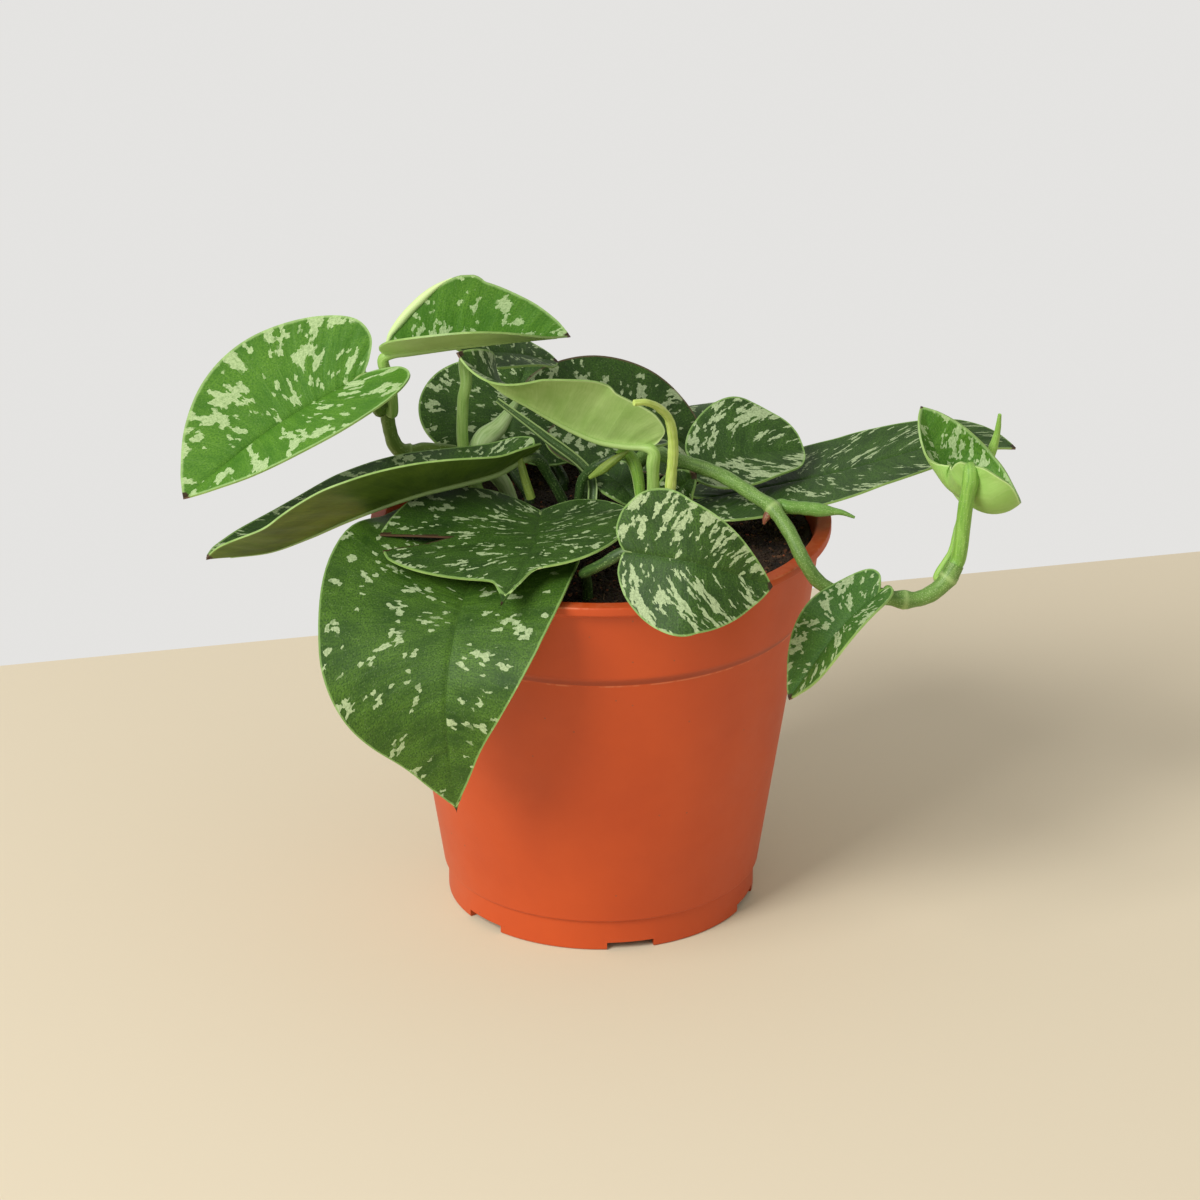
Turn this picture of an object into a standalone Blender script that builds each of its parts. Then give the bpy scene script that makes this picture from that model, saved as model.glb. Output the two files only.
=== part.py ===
"""Satin pothos in a round plastic nursery pot.

The pot stands on Z = 0 with its axis on the Z axis, and the side that is usually seen faces -Y.
Every size and place below is in millimetres, and the meshes are made in metres.
The plant is a pot, a plug of soil, stems and shoots that stand in plain holes in the soil, and leaves.
Each leaf is a heart-shaped blade with its midrib and leaf stalk in one solid.
"""

import math
from dataclasses import dataclass

import bmesh
import bpy
import numpy as np

MM = 0.001
COLLECTION = "satin_pothos"

# Pot
POT_HEIGHT = 93.4
LIP_RADIUS = 53.0
LIP_THICKNESS = 1.6
LIP_DROP = 2.0
BAND_TOP_RADIUS = 50.6
BAND_FOOT_RADIUS = 48.4
BAND_FOOT_Z = 72.4
BAND_STEP = 1.6
WALL = 1.3
BODY_FOOT_RADIUS = 37.1
FOOT_RING_RADIUS = 36.1
FOOT_RING_HEIGHT = 7.8
FOOT_RING_WALL = 1.8
FLOOR_Z = 3.0
FLOOR_THICKNESS = 1.6
CENTRE_FOOT_RADIUS = 5.0
POT_SIDES = 52
NOTCH_COUNT = 6
NOTCH_FIRST_DEG = 11.0
NOTCH_WIDTH = 11.0
NOTCH_HEIGHT = 1.8
DRAIN_COUNT = 6
DRAIN_RING_RADIUS = 26.0
DRAIN_RADIUS = 4.2
DRAIN_SIDES = 10

# Soil
SOIL_TOP_Z = 88.5
SOIL_GAP = 0.3
SOIL_LUMP = 0.9
SOIL_LUMP_COUNT = 60
SOIL_LUMP_SPREAD = 4.0
SOIL_RINGS = 6
SOIL_SIDES = 30
HOLE_CLEARANCE = 0.35
HOLE_EXTRA_DEPTH = 1.0
SEED = 7

# Leaves
BLADE_THICKNESS = 0.7
RIB_DROP = 0.45
RIB_RADIUS = 0.8
RIB_TIP_RADIUS = 0.35
RIB_REACH = 0.72
BLADE_ROWS = 11
BLADE_COLS = 3
VEIN_CROWDING = 1.45
VEIN_SWEEP = 1.35
LOBE_REACH = 0.12
LOBE_SPAN = 0.6
DRIP_PLACE = 0.86
DRIP_SPREAD = 0.16
DRIP_PULL = 0.3
SPINE_STEPS = 48
STALK_STEPS = 9
ROLL_STEPS = 6
TEAR_HEIGHT = 40.0
RIB_STEPS = 5
STALK_RADIUS = 1.2
SEAT_GAP = 0.3
SEAT_RUN = 2.0
MERGE = 1e-6

# The right half of a blade laid flat, from the stalk joint round the lobe to the tip,
# as shares of the half-width and of the midrib's length.
HALF_OUTLINE = (
    (0.00, 0.00),
    (0.12, -0.06),
    (0.33, -0.12),
    (0.60, -0.10),
    (0.83, 0.02),
    (0.97, 0.20),
    (1.00, 0.40),
    (0.87, 0.60),
    (0.60, 0.79),
    (0.29, 0.92),
    (0.09, 0.98),
    (0.00, 1.00),
)


@dataclass
class Leaf:
    """A leaf, described from its stalk joint to its tip.

    midrib: points that the blade's midline passes through, joint first.
    face: where the upper side faces, in even steps from the joint to the tip.
    half: greatest half-widths, left and right, seen from above with the tip ahead.
    fold: degrees that each half rises from the midrib, in even steps from the joint to the tip.
    curl: further degrees that each half bends by its margin.
    lobe: how far each lobe reaches back past the joint, as a multiple of the usual reach.
    broad: shift of each half's widest place towards the tip, as a share of the length.
    wave: height and count of the margin's waves, and where they start.
    drip: how far the margins draw in before the tip, below 0 for a blunt tip.
    rolled: a stretch of margin that is rolled up: its half (0 left, 1 right), the shares of the rows
        where it starts and ends, and its radius.
    tear: corners of the wedge that is torn out of the blade, seen from above, inner end first.
    stalk: the stalk's route after the joint, ending at its root.
    seat: the stem that carries the stalk, where it doesn't stand in the soil.
    """

    name: str
    midrib: tuple
    face: tuple
    half: tuple
    fold: tuple = ((12.0, 12.0),)
    curl: tuple = (0.0, 0.0)
    lobe: tuple = (1.0, 1.0)
    broad: tuple = (0.0, 0.0)
    wave: tuple = (0.6, 2.0, 0.0)
    drip: float = 0.0
    rolled: tuple = ()
    tear: tuple = ()
    stalk: tuple = ()
    stalk_radius: float = STALK_RADIUS
    seat: str = ""
    colour: tuple = (0.09, 0.20, 0.05)


@dataclass
class Stem:
    """A stem, shoot, sheath or strap: a tapered tube along a route.

    route: points that its middle passes through.
    radii: its radius, in even steps along the route.
    seat: the stem that carries its last end, where it doesn't stand in the soil.
    """

    name: str
    route: tuple
    radii: tuple
    seat: str = ""
    steps: int = 14
    colour: tuple = (0.25, 0.42, 0.10)


LEAVES = (
    Leaf(
        "leaf_upper_left",
        midrib=((-54, 2, 127.6), (-75, -8, 118), (-94, -20, 106)),
        face=((-0.1, -0.55, 0.85),),
        half=(17.5, 20),
        fold=((24, 28),),
        stalk=((-52.5, 3, 123), (-51, 6, 117)),
        seat="vine_left",
        lobe=(0.9, 1.0),
        broad=(-0.08, 0.0),
        colour=(0.16, 0.33, 0.07),
    ),
    Leaf(
        "leaf_top",
        midrib=((-49, 2, 132.5), (-28, 2, 135), (-7, 4, 136)),
        face=((0.0, -0.41, 0.91),),
        half=(15.5, 17),
        fold=((60, 60), (50, 45)),
        lobe=(-1.2, -0.3),
        stalk=((-49.5, 3, 129.5), (-48, 4, 125), (-47, 5, 117)),
        seat="vine_left",
        rolled=(0, 0.0, 0.45, 1.0),
        colour=(0.18, 0.36, 0.08),
    ),
    Leaf(
        "leaf_back_top",
        midrib=((-31, 14, 128), (-21, 20, 126), (-10, 27, 121)),
        face=((0.0, -0.3, 0.95),),
        half=(9, 9),
        stalk=((-31, 11, 122), (-31.8, 10, 117), (-31.5, 9, 105), (-27, 6, 94), (-25, 4, 89), (-25, 4, 79)),
        stalk_radius=1.35,
        colour=(0.07, 0.13, 0.04),
    ),
    Leaf(
        "leaf_back_left",
        midrib=((-22, 29, 97.5), (-20.5, 39, 106), (-17, 49, 114.3)),
        face=((-0.1, -0.8, 0.6),),
        half=(22, 22),
        stalk=((-20, 25, 93.5), (-17, 21, 90), (-17, 19, 87), (-17, 19, 79)),
        fold=((12, 4),),
        colour=(0.07, 0.16, 0.04),
    ),
    Leaf(
        "leaf_left",
        midrib=((-16, -3, 110), (-25, -6, 106.5), (-42, -12, 104), (-56, -16, 100), (-74, -20, 93.5), (-89, -24, 93)),
        face=((0, 0.4, 0.9), (0, 0.6, 0.8)),
        half=(18, 18),
        fold=((13, 31), (19, 51)),
        lobe=(0.4, 0.4),
        stalk=((-12, -1, 104), (-8, 1, 95), (-7, 1, 90), (-7, 1, 79)),
        broad=(0.1, 0.1),
        colour=(0.10, 0.20, 0.05),
    ),
    Leaf(
        "leaf_centre",
        midrib=((11.5, -16, 117), (0, -15, 118.2), (-8, -15, 121.8), (-15, -16, 126.4), (-23, -18, 132), (-32, -20, 141)),
        face=((0, 0.7, 0.7), (0, 0.7, 0.7), (0.1, 0.5, 0.8), (0.66, -0.59, 0.47)),
        half=(15, 15.5),
        fold=((35, 35), (22, 28), (15, 25), (28, 28)),
        lobe=(0.1, 0.3),
        stalk=((11.7, -16.5, 112), (11.8, -15, 100), (11.8, -14, 90), (11.8, -14, 79)),
        stalk_radius=1.4,
        colour=(0.22, 0.38, 0.12),
    ),
    Leaf(
        "leaf_front_left",
        midrib=((-22, -20, 94.8), (-28.5, -40, 95.3), (-32.5, -58, 88.5), (-34, -66, 74), (-32, -62, 48)),
        face=((-0.1, -0.3, 0.95), (-0.1, -1.0, 0.5), (-0.1, -1.0, 0.1)),
        half=(22.5, 31.5),
        fold=((8, 7), (8, 0)),
        stalk=((-19, -18, 92.8), (-16, -17, 90), (-15, -16, 87), (-15, -16, 79)),
        stalk_radius=1.4,
        broad=(-0.10, 0.02),
        lobe=(0.5, 2.45),
        drip=0.15,
        colour=(0.08, 0.17, 0.05),
    ),
    Leaf(
        "leaf_front_middle",
        midrib=((-13.6, -12, 99.5), (-15.5, -38, 101), (-21.9, -61, 97.6)),
        face=((0.0, -0.1, 1.0),),
        half=(23, 35),
        fold=((3, 5), (14, -3), (26, 0)),
        broad=(0.02, 0.22),
        stalk=((-11, -8, 97), (-8, -6, 92), (-7.5, -6, 88), (-7.5, -6, 79)),
        tear=((-33, -30.3), (-56, -27.2), (-56, -41)),
        lobe=(1.6, 3.0),
        drip=0.58,
        colour=(0.09, 0.18, 0.06),
    ),
    Leaf(
        "leaf_front_right",
        midrib=((5, -54, 107.5), (21, -60, 107), (37.5, -56, 100)),
        face=((0.0, -0.9, 0.4),),
        half=(15, 16.5),
        fold=((10, 10),),
        lobe=(-0.7, -0.5),
        stalk=((0.5, -51.5, 103.5), (-3.5, -46, 99), (-3.5, -39, 95.5), (-3, -36, 90), (-3, -36, 79)),
        broad=(-0.2, 0.0),
        colour=(0.10, 0.20, 0.08),
    ),
    Leaf(
        "leaf_back_middle",
        midrib=((-10, 26, 106.5), (9, 33, 103.5), (27, 38, 92)),
        face=((0.0, -0.6, 0.8),),
        half=(16, 17),
        stalk=((-7, 23, 102), (-3, 20, 94), (-3, 19, 90), (-3, 19, 79)),
        broad=(-0.1, 0.0),
        colour=(0.08, 0.15, 0.06),
    ),
    Leaf(
        "leaf_right_round",
        midrib=((21, 6, 104), (35, 9, 105.5), (46.5, 12.5, 105)),
        face=((0.0, -0.3, 0.95),),
        half=(16.5, 15),
        lobe=(0.3, 0.5),
        stalk=((17.5, 6.5, 102), (15, 8, 97), (14, 9, 90), (14, 9, 79)),
        drip=-0.12,
        broad=(0.12, 0.03),
        colour=(0.10, 0.21, 0.08),
    ),
    Leaf(
        "leaf_right_long",
        midrib=((24, -2, 98.5), (53, 6, 101.5), (79, 14, 105.8), (89, 16.5, 105.6), (96.5, 18, 103)),
        face=((0.0, 0.1, 1.0),),
        half=(19, 18),
        fold=((2, -2), (2, -2), (16, -10)),
        lobe=(0.3, 0.3),
        stalk=((20, -3, 96), (17, -3, 91), (17, -3, 88), (17, -3, 79)),
        rolled=(1, 0.08, 0.35, 0.7),
        broad=(0.06, -0.1),
        colour=(0.08, 0.17, 0.06),
    ),
    Leaf(
        "leaf_right_hanging",
        midrib=((62, -38.5, 91), (53, -43.5, 84), (42, -45.5, 68)),
        face=((-0.6, -0.6, 0.4),),
        half=(9, 10.5),
        fold=((32, 5),),
        lobe=(0.4, 0.8),
        stalk=((63.5, -37.5, 90.5), (64, -35, 89.5)),
        seat="vine_right",
        stalk_radius=1.0,
        colour=(0.12, 0.25, 0.08),
    ),
    Leaf(
        "leaf_vine_end",
        midrib=((82.4, -27, 116.8), (82.1, -25, 110), (81, -17.5, 105.5), (77, -9, 110), (72.6, -5, 122.4)),
        face=((0.15, 0.87, 0.48), (0.2, 0.4, 0.9), (0.15, -0.3, 0.95), (0.15, -0.85, 0.5), (0.15, -0.93, 0.3)),
        half=(9.5, 15.2),
        fold=((10, -58), (15, -38), (25, -8)),
        lobe=(-0.6, 0.0),
        stalk=((82.3, -29, 114), (81.5, -29, 109), (81, -28.8, 103), (80.6, -28.9, 98), (79.8, -29, 95)),
        seat="vine_right",
        stalk_radius=1.7,
        curl=(95, 112),
        wave=(0.0, 2.0, 0.0),
        colour=(0.22, 0.42, 0.10),
    ),
    Leaf(
        "leaf_small_right",
        midrib=((16, -9, 101), (18.5, -9.5, 105), (21.5, -10, 108)),
        face=((0.0, -0.8, 0.6),),
        half=(4.5, 4.5),
        stalk=((15.5, -9, 97), (14.5, -9, 90), (14.5, -9, 79)),
        stalk_radius=0.9,
        colour=(0.06, 0.12, 0.05),
    ),
    Leaf(
        "leaf_small_centre",
        midrib=((1, 4, 102.4), (5, 1, 100.4), (9, -2, 96.4)),
        face=((0.0, -0.6, 0.8),),
        half=(5, 5),
        stalk=((-1, 5, 99), (-1, 6, 90), (-1, 6, 79)),
        stalk_radius=0.9,
        colour=(0.07, 0.13, 0.05),
    ),
    Leaf(
        "leaf_rear_left",
        midrib=((-16, 40, 96.7), (-24, 56, 96.5), (-31, 64, 81)),
        face=((-0.1, 0.5, 0.85), (-0.1, 0.8, 0.5)),
        half=(16, 16),
        fold=((3, 3),),
        stalk=((-13, 37, 94.5), (-9, 32, 90), (-9, 31, 88), (-9, 31, 79)),
    ),
    Leaf(
        "leaf_rear_right",
        midrib=((13, 47, 96.6), (21, 60, 97), (28, 70, 85)),
        face=((0.1, 0.5, 0.85), (0.1, 0.8, 0.5)),
        half=(15, 15),
        fold=((0, 0),),
        stalk=((13, 43, 94.5), (12, 38, 91), (11, 35, 88), (11, 35, 79)),
    ),
)

STEMS = (
    Stem(
        "vine_left",
        route=(
            (-48.8, 8, 123),
            (-49.4, 8, 117.7),
            (-47.7, 8, 108.4),
            (-44.3, 9, 105.5),
            (-39.7, 10, 105.8),
            (-31, 14, 102),
            (-29, 15, 92),
            (-28, 15, 79),
        ),
        radii=(1.4, 1.8, 1.7, 1.7),
        colour=(0.22, 0.30, 0.08),
    ),
    Stem(
        "vine_right",
        route=(
            (79.6, -29, 93.8),
            (77.6, -30, 90.3),
            (74, -31.5, 87.6),
            (69.5, -33, 86.8),
            (62.5, -34, 87.9),
            (54.9, -32.5, 87.8),
            (49.1, -32, 90.5),
            (45.4, -32, 95.8),
            (42.2, -27, 100.8),
            (38.5, -22, 104.5),
            (35.4, -19, 105.7),
            (26.8, -10, 107.9),
            (16.6, -4, 109.2),
            (12, 3, 108),
            (8, 9, 102),
            (6, 12, 91),
            (6, 12, 79),
        ),
        radii=(1.95, 1.6, 1.6, 1.7, 1.7),
        steps=26,
        colour=(0.20, 0.36, 0.10),
    ),
    Stem(
        "stem_yellow",
        route=(
            (7.3, -27.5, 132),
            (10, -26, 131.5),
            (12.9, -23, 129),
            (15.4, -20, 124.6),
            (16.2, -18, 117),
            (15.6, -17, 106),
            (15.6, -17, 90),
            (15.6, -17, 79),
        ),
        radii=(0.7, 1.2, 1.3, 1.3),
        colour=(0.45, 0.52, 0.12),
    ),
    Stem(
        "sheath_right",
        route=(
            (57.2, -20, 101.4),
            (54.3, -20, 102.6),
            (51.2, -20, 103),
            (46.2, -20, 103.6),
            (42.1, -20.5, 104.2),
            (39.6, -21, 104.5),
        ),
        radii=(0.3, 0.7, 1.5, 1.6, 1.5, 1.3),
        seat="vine_right",
        steps=8,
        colour=(0.42, 0.6, 0.25),
    ),
    Stem(
        "shoot_vine_end",
        route=(
            (90.5, -4.5, 120.3),
            (90.1, -3.4, 115),
            (88.9, -3.2, 110.3),
            (86.4, -6, 105),
            (83.3, -12, 101.2),
            (80.8, -19, 98.8),
            (79, -24.6, 95),
            (76.2, -28.4, 90.2),
        ),
        radii=(0.4, 1.3, 1.1, 0.9, 0.9),
        seat="vine_right",
        steps=10,
    ),
    Stem(
        "leaf_rolled_small",
        route=((-0.9, -6, 106.8), (3, -5, 109.5), (5.9, -3.5, 110.5), (8.5, -5, 105), (9.5, -7, 90), (9.5, -7, 79)),
        radii=(0.4, 1.2, 0.9, 0.8, 0.8),
        steps=10,
        colour=(0.30, 0.50, 0.10),
    ),
    Stem(
        "strap_left",
        route=((-23.8, 4, 120.5), (-13, 2, 112.5), (-3, 0, 104.4), (-2, -3, 97), (-1.5, -4, 90), (-1.5, -4, 79)),
        radii=(0.5, 1.1, 0.9, 0.8),
        steps=8,
        colour=(0.20, 0.26, 0.14),
    ),
    Stem(
        "leaf_rolled_pale",
        route=((-19.5, 15, 116), (-23.3, 13, 111), (-28, 10, 106), (-22, 9, 97), (-20, 8, 90), (-20, 8, 79)),
        radii=(0.5, 2.4, 1.6, 1.0, 1.0),
        colour=(0.42, 0.55, 0.28),
    ),
)


def resampled(points, count):
    """`count` + 1 points, evenly spaced along a smooth curve through `points`."""
    knots = np.asarray(points, float)
    if len(knots) == 2:
        knots = np.array([knots[0], knots.mean(0), knots[1]])
    ends = np.vstack([2 * knots[0] - knots[1], knots, 2 * knots[-1] - knots[-2]])
    t = np.linspace(0, 1, 25)[:-1, None]
    pieces = []
    for a, b, c, d in zip(ends, ends[1:], ends[2:], ends[3:]):
        pieces.append(
            0.5 * (2 * b + (c - a) * t + (2 * a - 5 * b + 4 * c - d) * t**2 + (3 * b - a - 3 * c + d) * t**3)
        )
    path = np.vstack(pieces + [knots[-1:]])
    along = np.concatenate([[0], np.cumsum(np.linalg.norm(np.diff(path, axis=0), axis=1))])
    even = np.linspace(0, along[-1], count + 1)
    return np.column_stack([np.interp(even, along, path[:, k]) for k in range(path.shape[1])])


def unit(vectors):
    """The vectors at length one."""
    vectors = np.asarray(vectors, float)
    return vectors / np.linalg.norm(vectors, axis=-1, keepdims=True)


def along_rows(values, share):
    """Rows of `values`, which are evenly spaced from 0 to 1, read at each `share`."""
    values = np.asarray(values, float)
    if len(values) == 1:
        values = np.vstack([values, values])
    at = np.linspace(0, 1, len(values))
    return np.stack([np.interp(share, at, values[:, k]) for k in range(values.shape[1])], -1)


def blade_frame(leaf, share):
    """The midline's point, its tangent and the upper side's normal at each `share` of the midrib."""
    spine = resampled(leaf.midrib, SPINE_STEPS)
    tangent = unit(along_rows(unit(np.gradient(spine, axis=0)), share))
    face = along_rows(unit(leaf.face), share)
    normal = unit(face - (face * tangent).sum(-1, keepdims=True) * tangent)
    return along_rows(spine, share), tangent, normal


def blade_sheet(leaf, rows, cols):
    """The middle sheet of a blade, as a grid of points from the joint (row 0) to the tip.

    Column `cols` is the midrib. Rows are the side veins, which start close together at the joint.
    """
    spine = resampled(leaf.midrib, SPINE_STEPS)
    length = np.linalg.norm(np.diff(spine, axis=0), axis=1).sum()
    share = np.linspace(0, 1, rows + 1)[:, None]
    column = np.arange(-cols, cols + 1)[None, :] / cols
    reach = np.abs(column)
    left = column < 0

    outline = resampled(HALF_OUTLINE, rows)
    lobe = np.where(left, leaf.lobe[0], leaf.lobe[1])
    broad = np.where(left, leaf.broad[0], leaf.broad[1])
    margin = outline[:, 1:] + (1 - lobe) * LOBE_REACH * np.sin(math.pi * np.clip(share / LOBE_SPAN, 0, 1))
    drawn_in = leaf.drip * np.exp(-(((share - DRIP_PLACE) / DRIP_SPREAD) ** 2))
    margin = margin + broad * np.sin(math.pi * share) - DRIP_PULL * drawn_in
    start = share**VEIN_CROWDING
    forward = start + (margin - start) * reach**VEIN_SWEEP
    half = np.where(left, leaf.half[0], leaf.half[1])
    sideways = outline[:, :1] * reach * half * (1 - drawn_in)

    ahead = np.clip(forward, 0, 1)
    centre, tangent, normal = blade_frame(leaf, ahead)
    centre = centre + (forward - ahead)[..., None] * length * tangent
    side = np.cross(tangent, normal)

    folds = along_rows(leaf.fold, ahead)
    fold = np.radians(np.where(left, folds[..., 0], folds[..., 1]))
    curl = np.radians(np.where(left, leaf.curl[0], leaf.curl[1]))
    bend = np.where(np.abs(curl) < 1e-3, 1e-3, curl) / half
    across = (np.sin(fold + bend * sideways) - np.sin(fold)) / bend
    raised = (np.cos(fold) - np.cos(fold + bend * sideways)) / bend
    height, count, phase = leaf.wave
    ripple = height * np.sin(2 * math.pi * (count * share + phase + 0.3 * left)) * reach**2
    ripple = ripple * np.sin(math.pi * share)

    lateral = np.where(left, -across, across)
    return centre + lateral[..., None] * side + (raised + ripple)[..., None] * normal


def rooted(route, seat, steps):
    """Points along a smooth curve through the route, which ends just clear of the stem that carries it."""
    if not seat:
        return resampled(route, steps)
    stem = next(stem for stem in STEMS if stem.name == seat)
    middle = resampled(stem.route, 200)
    reach = along_rows(np.array(stem.radii)[:, None], np.linspace(0, 1, len(middle)))[:, 0]
    route = np.asarray(route, float)
    nearest = np.argmin(np.linalg.norm(middle - route[-1], axis=1))
    if nearest == 0:
        away = unit(middle[0] - middle[1])
        clear = SEAT_GAP
    else:
        away = unit(route[-1] - middle[nearest])
        clear = reach[nearest] + SEAT_GAP
    run = middle[nearest] + away * (clear + SEAT_RUN)
    return np.vstack([resampled(np.vstack([route[:-1], run]), steps), middle[nearest] + away * clear])


def new_object(name, mesh, collection):
    """An object at the origin, linked to the collection."""
    piece = bpy.data.objects.new(name, mesh)
    collection.objects.link(piece)
    return piece


def dress(piece, colour, roughness):
    """Give the piece its own plain material."""
    material = bpy.data.materials.new(piece.name)
    material.use_nodes = True
    shader = material.node_tree.nodes["Principled BSDF"]
    shader.inputs["Base Color"].default_value = (*colour, 1.0)
    shader.inputs["Roughness"].default_value = roughness
    piece.data.materials.clear()
    piece.data.materials.append(material)
    piece.data.shade_smooth()
    piece.data.set_sharp_from_angle(angle=math.radians(40))


def add_tube(name, middle, radii, collection, sides_level=1):
    """A closed tube along the points in `middle`, with a radius for each, as a mesh."""
    curve = bpy.data.curves.new(name, "CURVE")
    curve.dimensions = "3D"
    curve.bevel_depth = MM
    curve.bevel_resolution = sides_level
    curve.use_fill_caps = True
    spline = curve.splines.new("POLY")
    spline.points.add(len(middle) - 1)
    for point, place, radius in zip(spline.points, middle, radii):
        point.co = (*(place * MM), 1.0)
        point.radius = radius
    bent = new_object(name + "_curve", curve, collection)
    graph = bpy.context.evaluated_depsgraph_get()
    mesh = bpy.data.meshes.new_from_object(bent.evaluated_get(graph))
    work = bmesh.new()
    work.from_mesh(mesh)
    bmesh.ops.remove_doubles(work, verts=work.verts, dist=MERGE)
    bmesh.ops.recalc_face_normals(work, faces=work.faces)
    work.to_mesh(mesh)
    work.free()
    bpy.data.objects.remove(bent)
    return new_object(name, mesh, collection)


def apply_modifiers(piece):
    """Put the piece's modifiers into its mesh."""
    graph = bpy.context.evaluated_depsgraph_get()
    mesh = bpy.data.meshes.new_from_object(piece.evaluated_get(graph))
    piece.modifiers.clear()
    piece.data = mesh


def combine(piece, others, operation, solver="MANIFOLD"):
    """Join the other objects to the piece, or cut them from it, and remove them."""
    for other in others:
        modifier = piece.modifiers.new(other.name, "BOOLEAN")
        modifier.operation = operation
        modifier.solver = solver
        modifier.object = other
    apply_modifiers(piece)
    for other in others:
        bpy.data.objects.remove(other)


def hole_cutter(name, middle, radii, cutters, sides_level=1):
    """The hole that a stem stands in: the stem's stretch near the soil, a little wider and deeper."""
    inside = middle[:, 2] < SOIL_TOP_Z + 4
    first = max(np.argmax(inside) - 1, 0)
    middle = middle[first:]
    radii = radii[first:]
    down = unit(middle[-1] - middle[-2]) * HOLE_EXTRA_DEPTH
    middle = np.vstack([middle, middle[-1] + down])
    radii = np.append(radii, radii[-1]) + HOLE_CLEARANCE
    return add_tube(name + "_hole", middle, radii, cutters, sides_level)


def rolled_margin(leaf, sheet, collection):
    """The rolled stretch of a leaf's margin, as a tube that tapers at both ends."""
    half, start, end, radius = leaf.rolled
    first = round(start * BLADE_ROWS)
    last = round(end * BLADE_ROWS)
    edge = sheet[first : last + 1, -1 if half else 0]
    middle = resampled(edge, ROLL_STEPS)
    share = np.linspace(0, 1, len(middle))
    radii = radius * np.clip(np.sin(math.pi * share), 0.45, 0.9) / 0.9
    return add_tube(leaf.name + "_roll", middle, radii, collection)


def tear_cutter(leaf, cutters):
    """The wedge that is torn out of a leaf, as a tall prism."""
    mesh = bpy.data.meshes.new(leaf.name + "_tear")
    corners = [(x * MM, y * MM, leaf.midrib[0][2] * MM) for x, y in leaf.tear]
    mesh.from_pydata(corners, [], [(0, 1, 2)])
    wedge = new_object(leaf.name + "_tear", mesh, cutters)
    wall = wedge.modifiers.new("height", "SOLIDIFY")
    wall.thickness = TEAR_HEIGHT * MM
    wall.offset = 0.0
    apply_modifiers(wedge)
    return wedge


def build_leaf(leaf, collection, cutters):
    """A leaf: blade, midrib and stalk in one solid. Returns the cutters for its hole in the soil."""
    sheet = blade_sheet(leaf, BLADE_ROWS, BLADE_COLS)
    mesh = bpy.data.meshes.new(leaf.name)
    work = bmesh.new()
    bmesh.ops.create_grid(work, x_segments=BLADE_ROWS, y_segments=2 * BLADE_COLS, size=0.5)
    for vert in work.verts:
        row = round((vert.co.x + 0.5) * BLADE_ROWS)
        column = round((0.5 - vert.co.y) * 2 * BLADE_COLS)
        vert.co = sheet[row, column] * MM
    bmesh.ops.remove_doubles(work, verts=work.verts, dist=MERGE)
    bmesh.ops.triangulate(work, faces=work.faces)
    work.to_mesh(mesh)
    work.free()
    blade = new_object(leaf.name, mesh, collection)
    wall = blade.modifiers.new("thickness", "SOLIDIFY")
    wall.thickness = BLADE_THICKNESS * MM
    wall.offset = 0.0
    wall.use_quality_normals = True
    apply_modifiers(blade)

    share = np.linspace(0, RIB_REACH, RIB_STEPS + 1)
    centre, _, normal = blade_frame(leaf, share)
    rib = centre - normal * RIB_DROP
    rib_radii = np.linspace(RIB_RADIUS, RIB_TIP_RADIUS, len(rib))
    holes = []
    if leaf.stalk:
        route = np.vstack([rib[:1], leaf.stalk])
        stalk = rooted(route, leaf.seat, STALK_STEPS)
        radii = np.full(len(stalk), leaf.stalk_radius)
        radii[0] = 0.5 * (RIB_RADIUS + leaf.stalk_radius)
        if not leaf.seat:
            holes.append(hole_cutter(leaf.name, stalk, radii, cutters))
        rib = np.vstack([stalk[::-1], rib[1:]])
        rib_radii = np.append(radii[::-1], rib_radii[1:])
    combine(blade, [add_tube(leaf.name + "_rib", rib, rib_radii, collection)], "UNION")
    if leaf.rolled:
        combine(blade, [rolled_margin(leaf, sheet, collection)], "UNION")
    if leaf.tear:
        combine(blade, [tear_cutter(leaf, cutters)], "DIFFERENCE")
    dress(blade, leaf.colour, 0.35)
    return holes


def build_stem(stem, collection, cutters):
    """A stem or a shoot. Returns the cutters for its hole in the soil."""
    middle = rooted(stem.route, stem.seat, stem.steps)
    radii = along_rows(np.array(stem.radii)[:, None], np.linspace(0, 1, len(middle)))[:, 0]
    piece = add_tube(stem.name, middle, radii, collection, sides_level=2)
    dress(piece, stem.colour, 0.5)
    if stem.seat:
        return []
    return [hole_cutter(stem.name, middle, radii, cutters, sides_level=2)]


def turned(name, profile, sides, collection):
    """A closed solid turned about the Z axis from a profile of radius and height."""
    mesh = bpy.data.meshes.new(name)
    mesh.from_pydata(
        [(radius * MM, 0.0, height * MM) for radius, height in profile],
        [(start, start + 1) for start in range(len(profile) - 1)],
        [],
    )
    piece = new_object(name, mesh, collection)
    turn = piece.modifiers.new("turn", "SCREW")
    turn.axis = "Z"
    turn.angle = 2 * math.pi
    turn.steps = sides
    turn.render_steps = sides
    turn.use_merge_vertices = True
    turn.merge_threshold = 1e-5
    apply_modifiers(piece)
    return piece


def inner_radius(height):
    """The radius of the pot's inner wall at a height."""
    if height > BAND_FOOT_Z:
        rise = (height - BAND_FOOT_Z) / (POT_HEIGHT - BAND_FOOT_Z)
        return BAND_FOOT_RADIUS + (BAND_TOP_RADIUS - BAND_FOOT_RADIUS) * rise - WALL
    rise = (height - FOOT_RING_HEIGHT) / (BAND_FOOT_Z - FOOT_RING_HEIGHT)
    return BODY_FOOT_RADIUS + (BAND_FOOT_RADIUS - BAND_STEP - BODY_FOOT_RADIUS) * rise - WALL


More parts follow.
